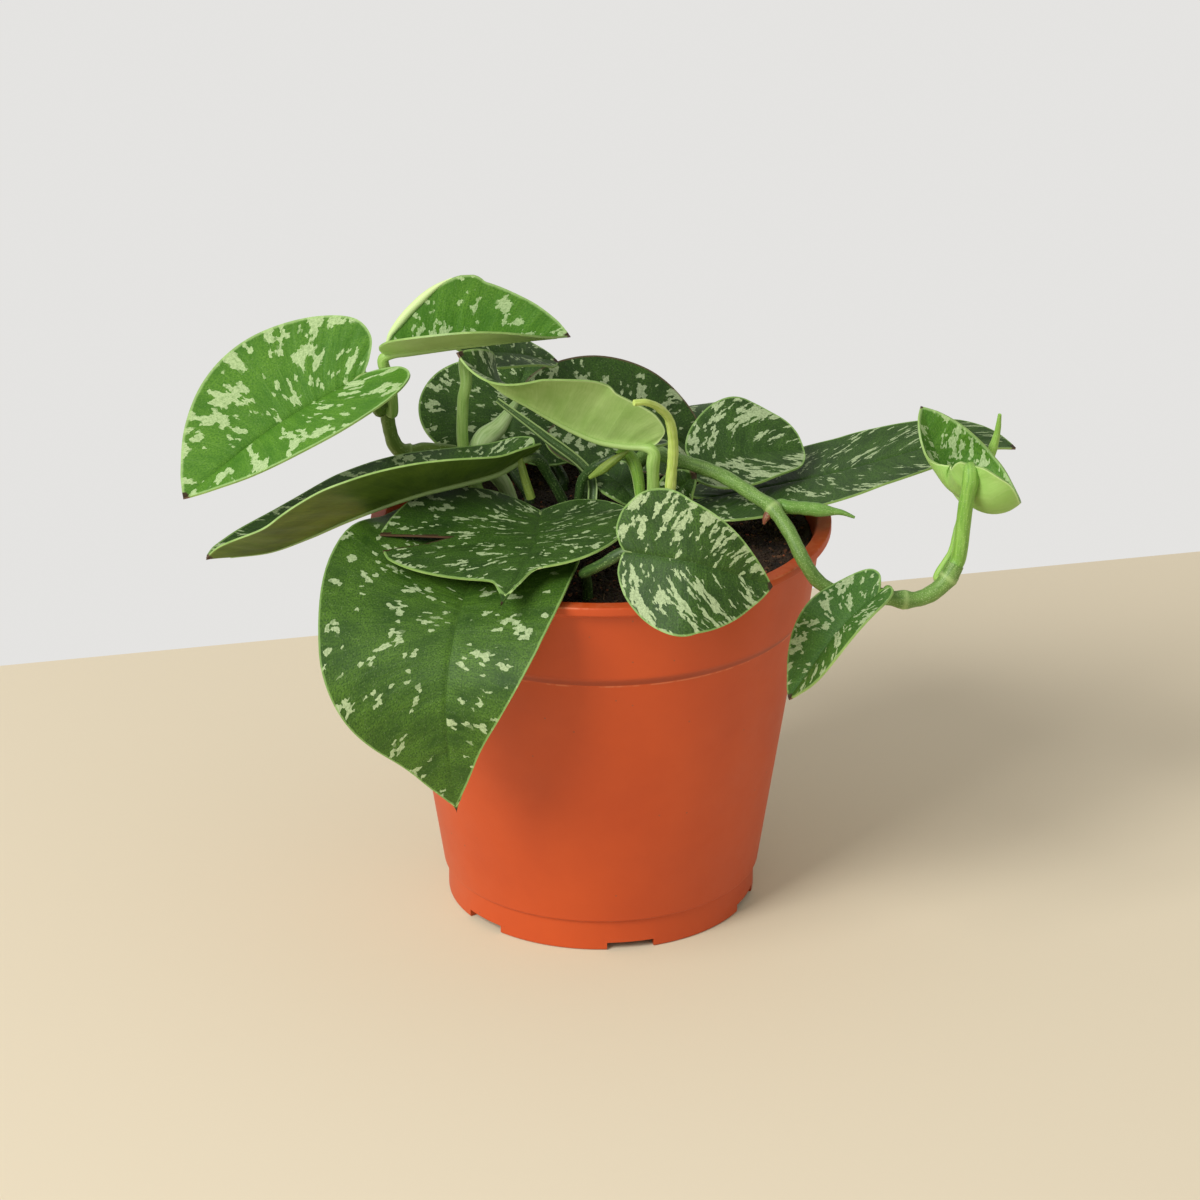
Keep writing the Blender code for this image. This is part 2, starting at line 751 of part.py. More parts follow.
def build_pot(collection, cutters):
    """The pot: lip, rim band, tapering body, a foot ring with notches, and a floor with drain holes."""
    floor_top = FLOOR_Z + FLOOR_THICKNESS
    profile = [
        (0.0, floor_top),
        (inner_radius(FOOT_RING_HEIGHT), floor_top),
        (inner_radius(FOOT_RING_HEIGHT), FOOT_RING_HEIGHT),
        (inner_radius(BAND_FOOT_Z - WALL), BAND_FOOT_Z - WALL),
        (inner_radius(BAND_FOOT_Z + WALL), BAND_FOOT_Z + WALL),
        (inner_radius(POT_HEIGHT - LIP_THICKNESS), POT_HEIGHT - LIP_THICKNESS),
        (BAND_TOP_RADIUS - WALL + 0.4, POT_HEIGHT),
        (LIP_RADIUS - 0.5, POT_HEIGHT),
        (LIP_RADIUS, POT_HEIGHT - 0.5),
        (LIP_RADIUS, POT_HEIGHT - LIP_DROP),
        (BAND_TOP_RADIUS, POT_HEIGHT - LIP_DROP - 1.2),
        (BAND_FOOT_RADIUS, BAND_FOOT_Z),
        (BAND_FOOT_RADIUS - BAND_STEP, BAND_FOOT_Z - 0.6),
        (BODY_FOOT_RADIUS, FOOT_RING_HEIGHT),
        (FOOT_RING_RADIUS, FOOT_RING_HEIGHT - 0.5),
        (FOOT_RING_RADIUS, 0.0),
        (FOOT_RING_RADIUS - FOOT_RING_WALL, 0.0),
        (FOOT_RING_RADIUS - FOOT_RING_WALL, FLOOR_Z),
        (CENTRE_FOOT_RADIUS, FLOOR_Z),
        (CENTRE_FOOT_RADIUS, 0.0),
        (0.0, 0.0),
    ]
    pot = turned("pot", profile, POT_SIDES, collection)
    tools = []
    for step in range(NOTCH_COUNT):
        angle = math.radians(NOTCH_FIRST_DEG - 90 + step * 360 / NOTCH_COUNT)
        bpy.ops.mesh.primitive_cube_add(size=MM, rotation=(0, 0, angle))
        notch = bpy.context.object
        notch.location = (FOOT_RING_RADIUS * MM * math.cos(angle), FOOT_RING_RADIUS * MM * math.sin(angle), 0)
        notch.scale = (3 * FOOT_RING_WALL, NOTCH_WIDTH, 2 * NOTCH_HEIGHT)
        tools.append(notch)
    for step in range(DRAIN_COUNT):
        angle = 2 * math.pi * (step + 0.5) / DRAIN_COUNT
        place = (DRAIN_RING_RADIUS * MM * math.cos(angle), DRAIN_RING_RADIUS * MM * math.sin(angle), floor_top * MM)
        bpy.ops.mesh.primitive_cylinder_add(
            vertices=DRAIN_SIDES,
            radius=DRAIN_RADIUS * MM,
            depth=4 * FLOOR_THICKNESS * MM,
            location=place,
        )
        tools.append(bpy.context.object)
    for tool in tools:
        for holder in list(tool.users_collection):
            holder.objects.unlink(tool)
        cutters.objects.link(tool)
    combine(pot, tools, "DIFFERENCE", "EXACT")
    dress(pot, (0.62, 0.13, 0.04), 0.45)


def lump_height(places):
    """How far the soil's top rises or sinks at each place, from seeded lumps."""
    draw = np.random.default_rng(SEED)
    lumps = draw.uniform(-BAND_TOP_RADIUS, BAND_TOP_RADIUS, (SOIL_LUMP_COUNT, 2))
    heights = draw.uniform(-SOIL_LUMP, SOIL_LUMP, SOIL_LUMP_COUNT)
    spread = ((places[:, None, :] - lumps[None]) ** 2).sum(-1)
    return (heights * np.exp(-spread / (2 * SOIL_LUMP_SPREAD**2))).sum(-1)


def build_soil(collection, holes):
    """The plug of soil, with a lumpy top and the holes that the stems stand in."""
    edge = inner_radius(SOIL_TOP_Z) - 2 * SOIL_GAP
    low = BAND_FOOT_Z + 2 * WALL
    foot = FLOOR_Z + FLOOR_THICKNESS + SOIL_GAP
    profile = [(edge * ring / SOIL_RINGS, SOIL_TOP_Z) for ring in range(SOIL_RINGS + 1)]
    profile += [
        (inner_radius(low) - 2 * SOIL_GAP, low),
        (inner_radius(BAND_FOOT_Z - 2 * WALL) - 2 * SOIL_GAP, BAND_FOOT_Z - 2 * WALL),
        (inner_radius(FOOT_RING_HEIGHT) - 2 * SOIL_GAP, FOOT_RING_HEIGHT),
        (inner_radius(FOOT_RING_HEIGHT) - 2 * SOIL_GAP, foot),
        (0.0, foot),
    ]
    soil = turned("soil", profile, SOIL_SIDES, collection)
    places = np.array([vert.co for vert in soil.data.vertices]) / MM
    rise = lump_height(places[:, :2])
    for vert, lift in zip(soil.data.vertices, rise):
        if vert.co.z > (SOIL_TOP_Z - 0.1) * MM:
            vert.co.z += lift * MM
    combine(soil, holes, "DIFFERENCE", "EXACT")
    dress(soil, (0.03, 0.02, 0.015), 0.95)


def main():
    """Build every piece of the potted plant."""
    for old in list(bpy.data.objects):
        bpy.data.objects.remove(old)
    collection = bpy.data.collections.new(COLLECTION)
    cutters = bpy.data.collections.new("cutters")
    bpy.context.scene.collection.children.link(collection)
    bpy.context.scene.collection.children.link(cutters)
    build_pot(collection, cutters)
    holes = []
    for stem in STEMS:
        holes += build_stem(stem, collection, cutters)
    for leaf in LEAVES:
        holes += build_leaf(leaf, collection, cutters)
    build_soil(collection, holes)


if __name__ == "__main__":
    main()
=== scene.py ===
"""Looks of a satin pothos in a round plastic nursery pot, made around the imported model.

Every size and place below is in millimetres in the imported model's frame, and meshes are made in metres.
The pot stands on Z = 0 with its axis on the Z axis, and the side that is usually seen faces -Y.
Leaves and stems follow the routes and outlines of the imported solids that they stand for, with a finer
surface, a thinner blade, veins, markings and torn or browned edges.
"""

import logging
import math
from dataclasses import dataclass
from enum import Enum

import bmesh
import bpy
import numpy as np
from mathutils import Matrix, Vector, noise


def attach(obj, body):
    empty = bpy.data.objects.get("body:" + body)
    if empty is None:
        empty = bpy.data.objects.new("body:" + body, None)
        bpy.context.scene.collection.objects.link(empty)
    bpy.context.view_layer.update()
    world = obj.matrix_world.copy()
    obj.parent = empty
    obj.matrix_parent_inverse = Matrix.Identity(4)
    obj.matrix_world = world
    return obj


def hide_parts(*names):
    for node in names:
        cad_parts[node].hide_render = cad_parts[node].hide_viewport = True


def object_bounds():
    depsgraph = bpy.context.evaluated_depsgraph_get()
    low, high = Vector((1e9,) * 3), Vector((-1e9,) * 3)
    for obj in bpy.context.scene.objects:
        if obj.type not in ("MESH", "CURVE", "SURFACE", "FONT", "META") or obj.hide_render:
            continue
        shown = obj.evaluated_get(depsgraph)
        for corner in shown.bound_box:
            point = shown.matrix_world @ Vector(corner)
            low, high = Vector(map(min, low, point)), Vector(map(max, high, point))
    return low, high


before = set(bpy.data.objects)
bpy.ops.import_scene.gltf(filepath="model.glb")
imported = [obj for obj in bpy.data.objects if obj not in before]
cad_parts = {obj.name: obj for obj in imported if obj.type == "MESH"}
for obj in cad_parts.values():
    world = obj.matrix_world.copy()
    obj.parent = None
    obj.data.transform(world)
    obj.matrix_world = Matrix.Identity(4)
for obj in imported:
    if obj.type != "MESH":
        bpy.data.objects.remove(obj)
CAD_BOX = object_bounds()
LOG = logging.getLogger("satin_pothos")

MM = 0.001
BODY = "root"
PIECE_PREFIX = "satin_"
TWIG_STEPS = 16
SEED = 7

# Pot
POT_HEIGHT = 93.4
LIP_RADIUS = 53.0
LIP_THICKNESS = 1.6
LIP_DROP = 2.0
BAND_TOP_RADIUS = 50.6
BAND_FOOT_RADIUS = 48.4
BAND_FOOT_Z = 72.4
BAND_STEP = 1.6
BAND_CHAMFER = 1.5
WALL = 1.3
BODY_FOOT_RADIUS = 37.1
FOOT_RING_RADIUS = 36.1
FOOT_RING_HEIGHT = 7.8
FOOT_RING_WALL = 1.8
FLOOR_Z = 3.0
FLOOR_THICKNESS = 1.6
CENTRE_FOOT_RADIUS = 5.0
POT_SIDES = 160
NOTCH_COUNT = 6
NOTCH_FIRST_DEG = 11.0
NOTCH_WIDTH = 11.0
NOTCH_HEIGHT = 1.8
DRAIN_COUNT = 6
DRAIN_RING_RADIUS = 26.0
DRAIN_RADIUS = 4.2

# Soil
SOIL_TOP_Z = 88.5
SOIL_GAP = 0.3
SOIL_LUMP = 0.9
SOIL_LUMP_COUNT = 60
SOIL_LUMP_SPREAD = 4.0

# Blades
VEIN_CROWDING = 1.45
VEIN_SWEEP = 1.35
LOBE_REACH = 0.12
LOBE_SPAN = 0.6
DRIP_PLACE = 0.86
DRIP_SPREAD = 0.16
DRIP_PULL = 0.3
SPINE_STEPS = 48
BLADE_THICKNESS = 0.45
BLADE_ROWS = 96
BLADE_COLS = 22
COLUMN_CROWDING = 0.105
RIB_BITE = -0.12
RIB_RADIUS = 0.75
RIB_TIP_RADIUS = 0.15
RIB_REACH = 0.93
VEIN_DEPTH = 0.07
MIDRIB_GROOVE = 0.22
PILLOW_HEIGHT = 0.10
STALK_RADIUS = 1.2
SEAT_SINK = 0.8
MERGE = 1e-6

# The right half of a blade laid flat, from the stalk joint round the lobe to the tip,
# as shares of the half-width and of the midrib's length.
HALF_OUTLINE = (
    (0.00, 0.00),
    (0.12, -0.06),
    (0.33, -0.12),
    (0.60, -0.10),
    (0.83, 0.02),
    (0.97, 0.20),
    (1.00, 0.40),
    (0.87, 0.60),
    (0.60, 0.79),
    (0.29, 0.92),
    (0.09, 0.98),
    (0.00, 1.00),
)


def tint(red: int, green: int, blue: int) -> tuple[float, float, float, float]:
    """A colour as the shader nodes take it.

    Args:
        red: Red as a screen shows it, 0 to 255.
        green: Green, 0 to 255.
        blue: Blue, 0 to 255.

    Returns:
        The linear colour with full alpha.
    """
    linear = []
    for channel in (red, green, blue):
        share = channel / 255
        linear.append(share / 12.92 if share <= 0.04045 else ((share + 0.055) / 1.055) ** 2.4)
    return (linear[0], linear[1], linear[2], 1.0)


def resampled(points: tuple | np.ndarray, count: int) -> np.ndarray:
    """Evenly spaced points along a smooth curve.

    Args:
        points: Points that the curve passes through.
        count: Number of steps.

    Returns:
        `count` + 1 points.
    """
    knots = np.asarray(points, float)
    if len(knots) == 2:
        knots = np.array([knots[0], knots.mean(0), knots[1]])
    ends = np.vstack([2 * knots[0] - knots[1], knots, 2 * knots[-1] - knots[-2]])
    t = np.linspace(0, 1, 25)[:-1, None]
    pieces = []
    for a, b, c, d in zip(ends, ends[1:], ends[2:], ends[3:]):
        pieces.append(
            0.5 * (2 * b + (c - a) * t + (2 * a - 5 * b + 4 * c - d) * t**2 + (3 * b - a - 3 * c + d) * t**3)
        )
    path = np.vstack(pieces + [knots[-1:]])
    along = np.concatenate([[0], np.cumsum(np.linalg.norm(np.diff(path, axis=0), axis=1))])
    even = np.linspace(0, along[-1], count + 1)
    return np.column_stack([np.interp(even, along, path[:, k]) for k in range(path.shape[1])])


def unit(vectors: tuple | np.ndarray) -> np.ndarray:
    """The vectors at length one."""
    vectors = np.asarray(vectors, float)
    return vectors / np.maximum(np.linalg.norm(vectors, axis=-1, keepdims=True), 1e-12)


def along_rows(values: tuple | np.ndarray, share: np.ndarray) -> np.ndarray:
    """Rows of values, which are evenly spaced from 0 to 1, read at each share."""
    values = np.asarray(values, float)
    if len(values) == 1:
        values = np.vstack([values, values])
    at = np.linspace(0, 1, len(values))
    return np.stack([np.interp(share, at, values[:, k]) for k in range(values.shape[1])], -1)


def rough_noise(places: np.ndarray, size: float, seed: float) -> np.ndarray:
    """Smooth noise from about -1 to 1 at each place, with lumps of about the given size in millimetres."""
    offset = Vector((seed * 17.3, seed * 5.1, seed * 9.7))
    return np.array([noise.noise(Vector(place) / size + offset) for place in places])


def smooth_step(low: float, high: float, values: np.ndarray) -> np.ndarray:
    """0 below `low`, 1 above `high`, and a smooth rise between them."""
    share = np.clip((values - low) / (high - low), 0, 1)
    return share * share * (3 - 2 * share)


class Slot(Enum):
    """The record's material slots."""

    POT = "pot"
    SOIL = "soil"
    STEM = "stem"
    LEAF = "leaf"
    UNDERSIDE = "leaf_underside"


class Section(Enum):
    """How a stem is shaped across its route."""

    ROUND = "round"
    CHANNEL = "channel"
    ROLLED = "rolled"


class Wiring:
    """Adds nodes to one node tree. A value that is a socket is linked, and any other value is set."""

    def __init__(self, tree: bpy.types.NodeTree) -> None:
        """Start on a tree."""
        self.tree = tree
        self.count = 0

    def node(self, kind: str, values: dict | None = None, **settings) -> bpy.types.Node:
        """Add a node.

        Args:
            kind: The node's type name.
            values: What its inputs take, by name or number: sockets to link, or plain values.
            settings: The node's own settings.

        Returns:
            The node.
        """
        made = self.tree.nodes.new(kind)
        made.location = (180 * (self.count % 12), -260 * (self.count // 12))
        self.count += 1
        for name, value in settings.items():
            setattr(made, name, value)
        for key, value in (values or {}).items():
            if isinstance(value, bpy.types.NodeSocket):
                self.tree.links.new(value, made.inputs[key])
            else:
                made.inputs[key].default_value = value
        return made

    def maths(self, operation: str, first, second=0.0, third=0.0, clamp: bool = False) -> bpy.types.NodeSocket:
        """The result of a Math node."""
        values = {0: first, 1: second, 2: third}
        return self.node("ShaderNodeMath", values, operation=operation, use_clamp=clamp).outputs[0]

    def ramp(self, value, low: float, high: float) -> bpy.types.NodeSocket:
        """0 where the value is below `low`, 1 above `high`, smooth between them. `high` may be the lower one."""
        values = {"Value": value, "From Min": low, "From Max": high}
        made = self.node("ShaderNodeMapRange", values, interpolation_type="SMOOTHSTEP", clamp=True)
        return made.outputs["Result"]

    def blend(self, share, first, second) -> bpy.types.NodeSocket:
        """The second colour over the first by a share."""
        made = self.node("ShaderNodeMix", {"Factor": share}, data_type="RGBA", clamp_factor=True)
        for number, value in ((6, first), (7, second)):
            if isinstance(value, bpy.types.NodeSocket):
                self.tree.links.new(value, made.inputs[number])
            else:
                made.inputs[number].default_value = value
        return made.outputs[2]

    def attribute(self, name: str) -> bpy.types.Node:
        """A node that reads one of the mesh's own attributes."""
        return self.node("ShaderNodeAttribute", attribute_name=name)

    def clouds(self, vector, scale: float, detail: float = 2.0, roughness: float = 0.5) -> bpy.types.NodeSocket:
        """The value of a Noise texture."""
        values = {"Vector": vector, "Scale": scale, "Detail": detail, "Roughness": roughness}
        return self.node("ShaderNodeTexNoise", values).outputs["Fac"]

    def places(self) -> bpy.types.NodeSocket:
        """Object coordinates in millimetres."""
        raw = self.node("ShaderNodeTexCoord").outputs["Object"]
        values = {0: raw, 3: 1 / MM}
        return self.node("ShaderNodeVectorMath", values, operation="SCALE").outputs[0]

    def group(self, tree: bpy.types.NodeTree, values: dict) -> bpy.types.Node:
        """Place a node group with its values."""
        made = self.tree.nodes.new(self.tree.bl_idname.replace("NodeTree", "NodeGroup"))
        made.node_tree = tree
        for key, value in values.items():
            if isinstance(value, bpy.types.NodeSocket):
                self.tree.links.new(value, made.inputs[key])
            else:
                made.inputs[key].default_value = value
        return made


def new_group(name: str, kind: str, inputs: dict, outputs: dict) -> tuple[Wiring, dict, bpy.types.Node]:
    """Make a node group with named sockets.

    Args:
        name: The group's name.
        kind: Its tree type.
        inputs: Each input's name with its socket type and its usual value.
        outputs: Each output's name with its socket type.

    Returns:
        The wiring of the group, its inputs' sockets by name, and its output node.
    """
    tree = bpy.data.node_groups.new(name, kind)
    for label, (socket_kind, value) in inputs.items():
        socket = tree.interface.new_socket(label, in_out="INPUT", socket_type=socket_kind)
        if value is not None:
            socket.default_value = value
    for label, socket_kind in outputs.items():
        tree.interface.new_socket(label, in_out="OUTPUT", socket_type=socket_kind)
    wiring = Wiring(tree)
    start = wiring.node("NodeGroupInput")
    end = wiring.node("NodeGroupOutput")
    return wiring, {socket.name: socket for socket in start.outputs if socket.name}, end


FLOAT = "NodeSocketFloat"
VECTOR = "NodeSocketVector"
COLOUR = "NodeSocketColor"


class Effects:
    """Surface effects that more than one finish uses, each a shader group that is built once."""

    def __init__(self) -> None:
        """Build the groups."""
        self.splashes = self.build_splashes()
        self.veins = self.build_veins()
        self.specks = self.build_specks()
        self.mottle = self.build_mottle()
        self.grain = self.build_grain()

    def build_splashes(self) -> bpy.types.NodeTree:
        """Silver splashes: ragged patches that are made of small blocks and stretch along the side veins."""
        inputs = {
            "Vein": (VECTOR, None),
            "Rim": (FLOAT, 10.0),
            "Seed": (FLOAT, 0.0),
            "Patch": (FLOAT, 6.0),
            "Stretch": (FLOAT, 1.6),
            "Block": (FLOAT, 0.5),
            "Threshold": (FLOAT, 0.55),
            "Rim Gain": (FLOAT, 0.0),
            "Middle Clear": (FLOAT, 0.1),
            "Lean": (FLOAT, 0.0),
        }
        wiring, given, end = new_group("silver_splashes", "ShaderNodeTree", inputs, {"Mask": FLOAT, "Height": FLOAT})
        raw = wiring.node("ShaderNodeSeparateXYZ", {0: given["Vein"]})
        away = wiring.maths("ABSOLUTE", raw.outputs[0])
        set_back = wiring.maths("SUBTRACT", raw.outputs[1], wiring.maths("MULTIPLY", away, given["Lean"]))
        leaning = wiring.node("ShaderNodeCombineXYZ", {0: raw.outputs[0], 1: set_back, 2: raw.outputs[2]})
        jitter = wiring.node("ShaderNodeTexNoise", {"Vector": given["Vein"], "Scale": 0.8, "Detail": 2.0})
        spread = wiring.node("ShaderNodeVectorMath", {0: jitter.outputs["Color"], 1: (0.5, 0.5, 0.5)}, operation="SUBTRACT")
        moved = wiring.node("ShaderNodeVectorMath", {0: spread.outputs[0], 3: 1.3}, operation="SCALE")
        place = wiring.node("ShaderNodeVectorMath", {0: leaning.outputs[0], 1: moved.outputs[0]}, operation="ADD")
        flat = wiring.node("ShaderNodeSeparateXYZ", {0: place.outputs[0]})
        long_side = wiring.maths("MULTIPLY", given["Block"], 1.5)
        short_side = wiring.maths("MULTIPLY", given["Block"], 0.9)
        cell_x = wiring.maths("DIVIDE", flat.outputs[0], long_side)
        cell_y = wiring.maths("DIVIDE", flat.outputs[1], short_side)
        grid = wiring.node("ShaderNodeCombineXYZ", {0: cell_x, 1: cell_y, 2: given["Seed"]})
        cells = wiring.node("ShaderNodeTexVoronoi", {"Vector": grid.outputs[0], "Scale": 1.0, "Randomness": 0.85})
        centre = wiring.node("ShaderNodeSeparateXYZ", {0: cells.outputs["Position"]})
        along = wiring.maths("MULTIPLY", centre.outputs[0], long_side)
        across = wiring.maths("MULTIPLY", centre.outputs[1], short_side)
        across = wiring.maths("MULTIPLY", across, given["Stretch"])
        shift = wiring.maths("MULTIPLY", given["Seed"], 7.3)
        point = wiring.node("ShaderNodeCombineXYZ", {0: along, 1: across, 2: shift})
        scale = wiring.maths("DIVIDE", 1.0, given["Patch"])
        broad = wiring.node("ShaderNodeTexNoise", {"Vector": point.outputs[0], "Scale": scale, "Detail": 1.0})
        fine_scale = wiring.maths("MULTIPLY", scale, 2.9)
        fine = wiring.node("ShaderNodeTexNoise", {"Vector": point.outputs[0], "Scale": fine_scale, "Detail": 1.0})
        value = wiring.maths("MULTIPLY", broad.outputs["Fac"], 0.55)
        value = wiring.maths("MULTIPLY_ADD", fine.outputs["Fac"], 0.45, value)
        near_rim = wiring.ramp(given["Rim"], 4.5, 0.2)
        value = wiring.maths("MULTIPLY_ADD", near_rim, given["Rim Gain"], value)
        beside = wiring.maths("ABSOLUTE", flat.outputs[0])
        middle = wiring.ramp(beside, 4.0, 0.3)
        clear = wiring.maths("MULTIPLY", middle, given["Middle Clear"])
        value = wiring.maths("SUBTRACT", value, clear)
        over = wiring.maths("SUBTRACT", value, given["Threshold"])
        mask = wiring.ramp(over, -0.003, 0.008)
        wiring.tree.links.new(mask, end.inputs["Mask"])
        soft = wiring.ramp(over, -0.03, 0.03)
        wiring.tree.links.new(soft, end.inputs["Height"])
        return wiring.tree

    def build_veins(self) -> bpy.types.NodeTree:
        """Thin side veins that leave the midrib at even distances, and a fan of finer lines between them."""
        inputs = {"Vein": (VECTOR, None), "Spacing": (FLOAT, 4.0), "Width": (FLOAT, 0.08)}
        wiring, given, end = new_group("leaf_veins", "ShaderNodeTree", inputs, {"Lines": FLOAT, "Fine": FLOAT})
        flat = wiring.node("ShaderNodeSeparateXYZ", {0: given["Vein"]})
        drift = wiring.clouds(given["Vein"], 0.35, 1.0)
        across = wiring.maths("MULTIPLY_ADD", drift, 1.2, flat.outputs[1])
        turns = wiring.maths("DIVIDE", across, given["Spacing"])
        part = wiring.maths("FRACT", turns)
        off = wiring.maths("SUBTRACT", part, 0.5)
        near = wiring.maths("ABSOLUTE", off)
        line = wiring.ramp(near, 0.07, 0.0)
        wiring.tree.links.new(line, end.inputs["Lines"])
        fine_x = wiring.maths("MULTIPLY", flat.outputs[0], 0.16)
        fine_y = wiring.maths("MULTIPLY", across, 2.6)
        stretched = wiring.node("ShaderNodeCombineXYZ", {0: fine_x, 1: fine_y})
        fine = wiring.clouds(stretched.outputs[0], 1.0, 2.0)
        wiring.tree.links.new(fine, end.inputs["Fine"])
        return wiring.tree

    def build_specks(self) -> bpy.types.NodeTree:
        """Small round specks, some of them missing."""
        inputs = {"Place": (VECTOR, None), "Spacing": (FLOAT, 0.5), "Size": (FLOAT, 0.25), "Share": (FLOAT, 0.6)}
        wiring, given, end = new_group("fine_specks", "ShaderNodeTree", inputs, {"Mask": FLOAT})
        scale = wiring.maths("DIVIDE", 1.0, given["Spacing"])
        cells = wiring.node("ShaderNodeTexVoronoi", {"Vector": given["Place"], "Scale": scale, "Randomness": 0.9})
        inner = wiring.maths("MULTIPLY", given["Size"], 0.6)
        edge = wiring.node(
            "ShaderNodeMapRange",
            {"Value": cells.outputs["Distance"], "From Min": given["Size"], "From Max": inner},
            clamp=True,
        )
        pick = wiring.node("ShaderNodeSeparateColor", {0: cells.outputs["Color"]})
        kept = wiring.maths("LESS_THAN", pick.outputs[0], given["Share"])
        mask = wiring.maths("MULTIPLY", edge.outputs["Result"], kept)
        wiring.tree.links.new(mask, end.inputs["Mask"])
        return wiring.tree

    def build_mottle(self) -> bpy.types.NodeTree:
        """Two colours mixed in clouds of a given size, with finer clouds on them."""
        inputs = {
            "Place": (VECTOR, None),
            "First": (COLOUR, (0.5, 0.5, 0.5, 1.0)),
            "Second": (COLOUR, (0.5, 0.5, 0.5, 1.0)),
            "Size": (FLOAT, 8.0),
            "Contrast": (FLOAT, 1.0),
        }
        wiring, given, end = new_group("mottle", "ShaderNodeTree", inputs, {"Colour": COLOUR, "Share": FLOAT})
        scale = wiring.maths("DIVIDE", 1.0, given["Size"])
        clouds = wiring.node(
            "ShaderNodeTexNoise", {"Vector": given["Place"], "Scale": scale, "Detail": 4.0, "Roughness": 0.6}
        )
        off = wiring.maths("SUBTRACT", clouds.outputs["Fac"], 0.5)
        wide = wiring.maths("MULTIPLY", off, given["Contrast"])
        share = wiring.maths("MULTIPLY_ADD", wide, 2.2, 0.5, clamp=True)
        wiring.tree.links.new(wiring.blend(share, given["First"], given["Second"]), end.inputs["Colour"])
        wiring.tree.links.new(share, end.inputs["Share"])
        return wiring.tree

    def build_grain(self) -> bpy.types.NodeTree:
        """Height of a fine even grain, such as leaf cells or the sheen of moulded plastic."""
        inputs = {"Place": (VECTOR, None), "Size": (FLOAT, 0.3)}
        wiring, given, end = new_group("fine_grain", "ShaderNodeTree", inputs, {"Height": FLOAT})
        scale = wiring.maths("DIVIDE", 1.0, given["Size"])
        clouds = wiring.node(
            "ShaderNodeTexNoise", {"Vector": given["Place"], "Scale": scale, "Detail": 2.0, "Roughness": 0.6}
        )
        wiring.tree.links.new(clouds.outputs["Fac"], end.inputs["Height"])
        return wiring.tree


EFFECTS = Effects()


def new_material(name: str) -> tuple[bpy.types.Material, Wiring, bpy.types.Node]:
    """Make a material and start its wiring.

    Args:
        name: The material's name.

    Returns:
        The material, its wiring and its Principled BSDF.
    """
    material = bpy.data.materials.new(name)
    material.use_nodes = True
    return material, Wiring(material.node_tree), material.node_tree.nodes["Principled BSDF"]


def feed_bump(wiring: Wiring, shader: bpy.types.Node, height, depth_mm: float, strength: float = 1.0) -> None:
    """Join a height to the shader's normal.

    Args:
        wiring: The material's wiring.
        shader: Its Principled BSDF.
        height: The height's socket, 0 to 1.
        depth_mm: How deep the relief is, in millimetres.
        strength: How much of it shows.
    """
    bump = wiring.node("ShaderNodeBump", {"Height": height, "Strength": strength, "Distance": depth_mm * MM})
    wiring.tree.links.new(bump.outputs["Normal"], shader.inputs["Normal"])


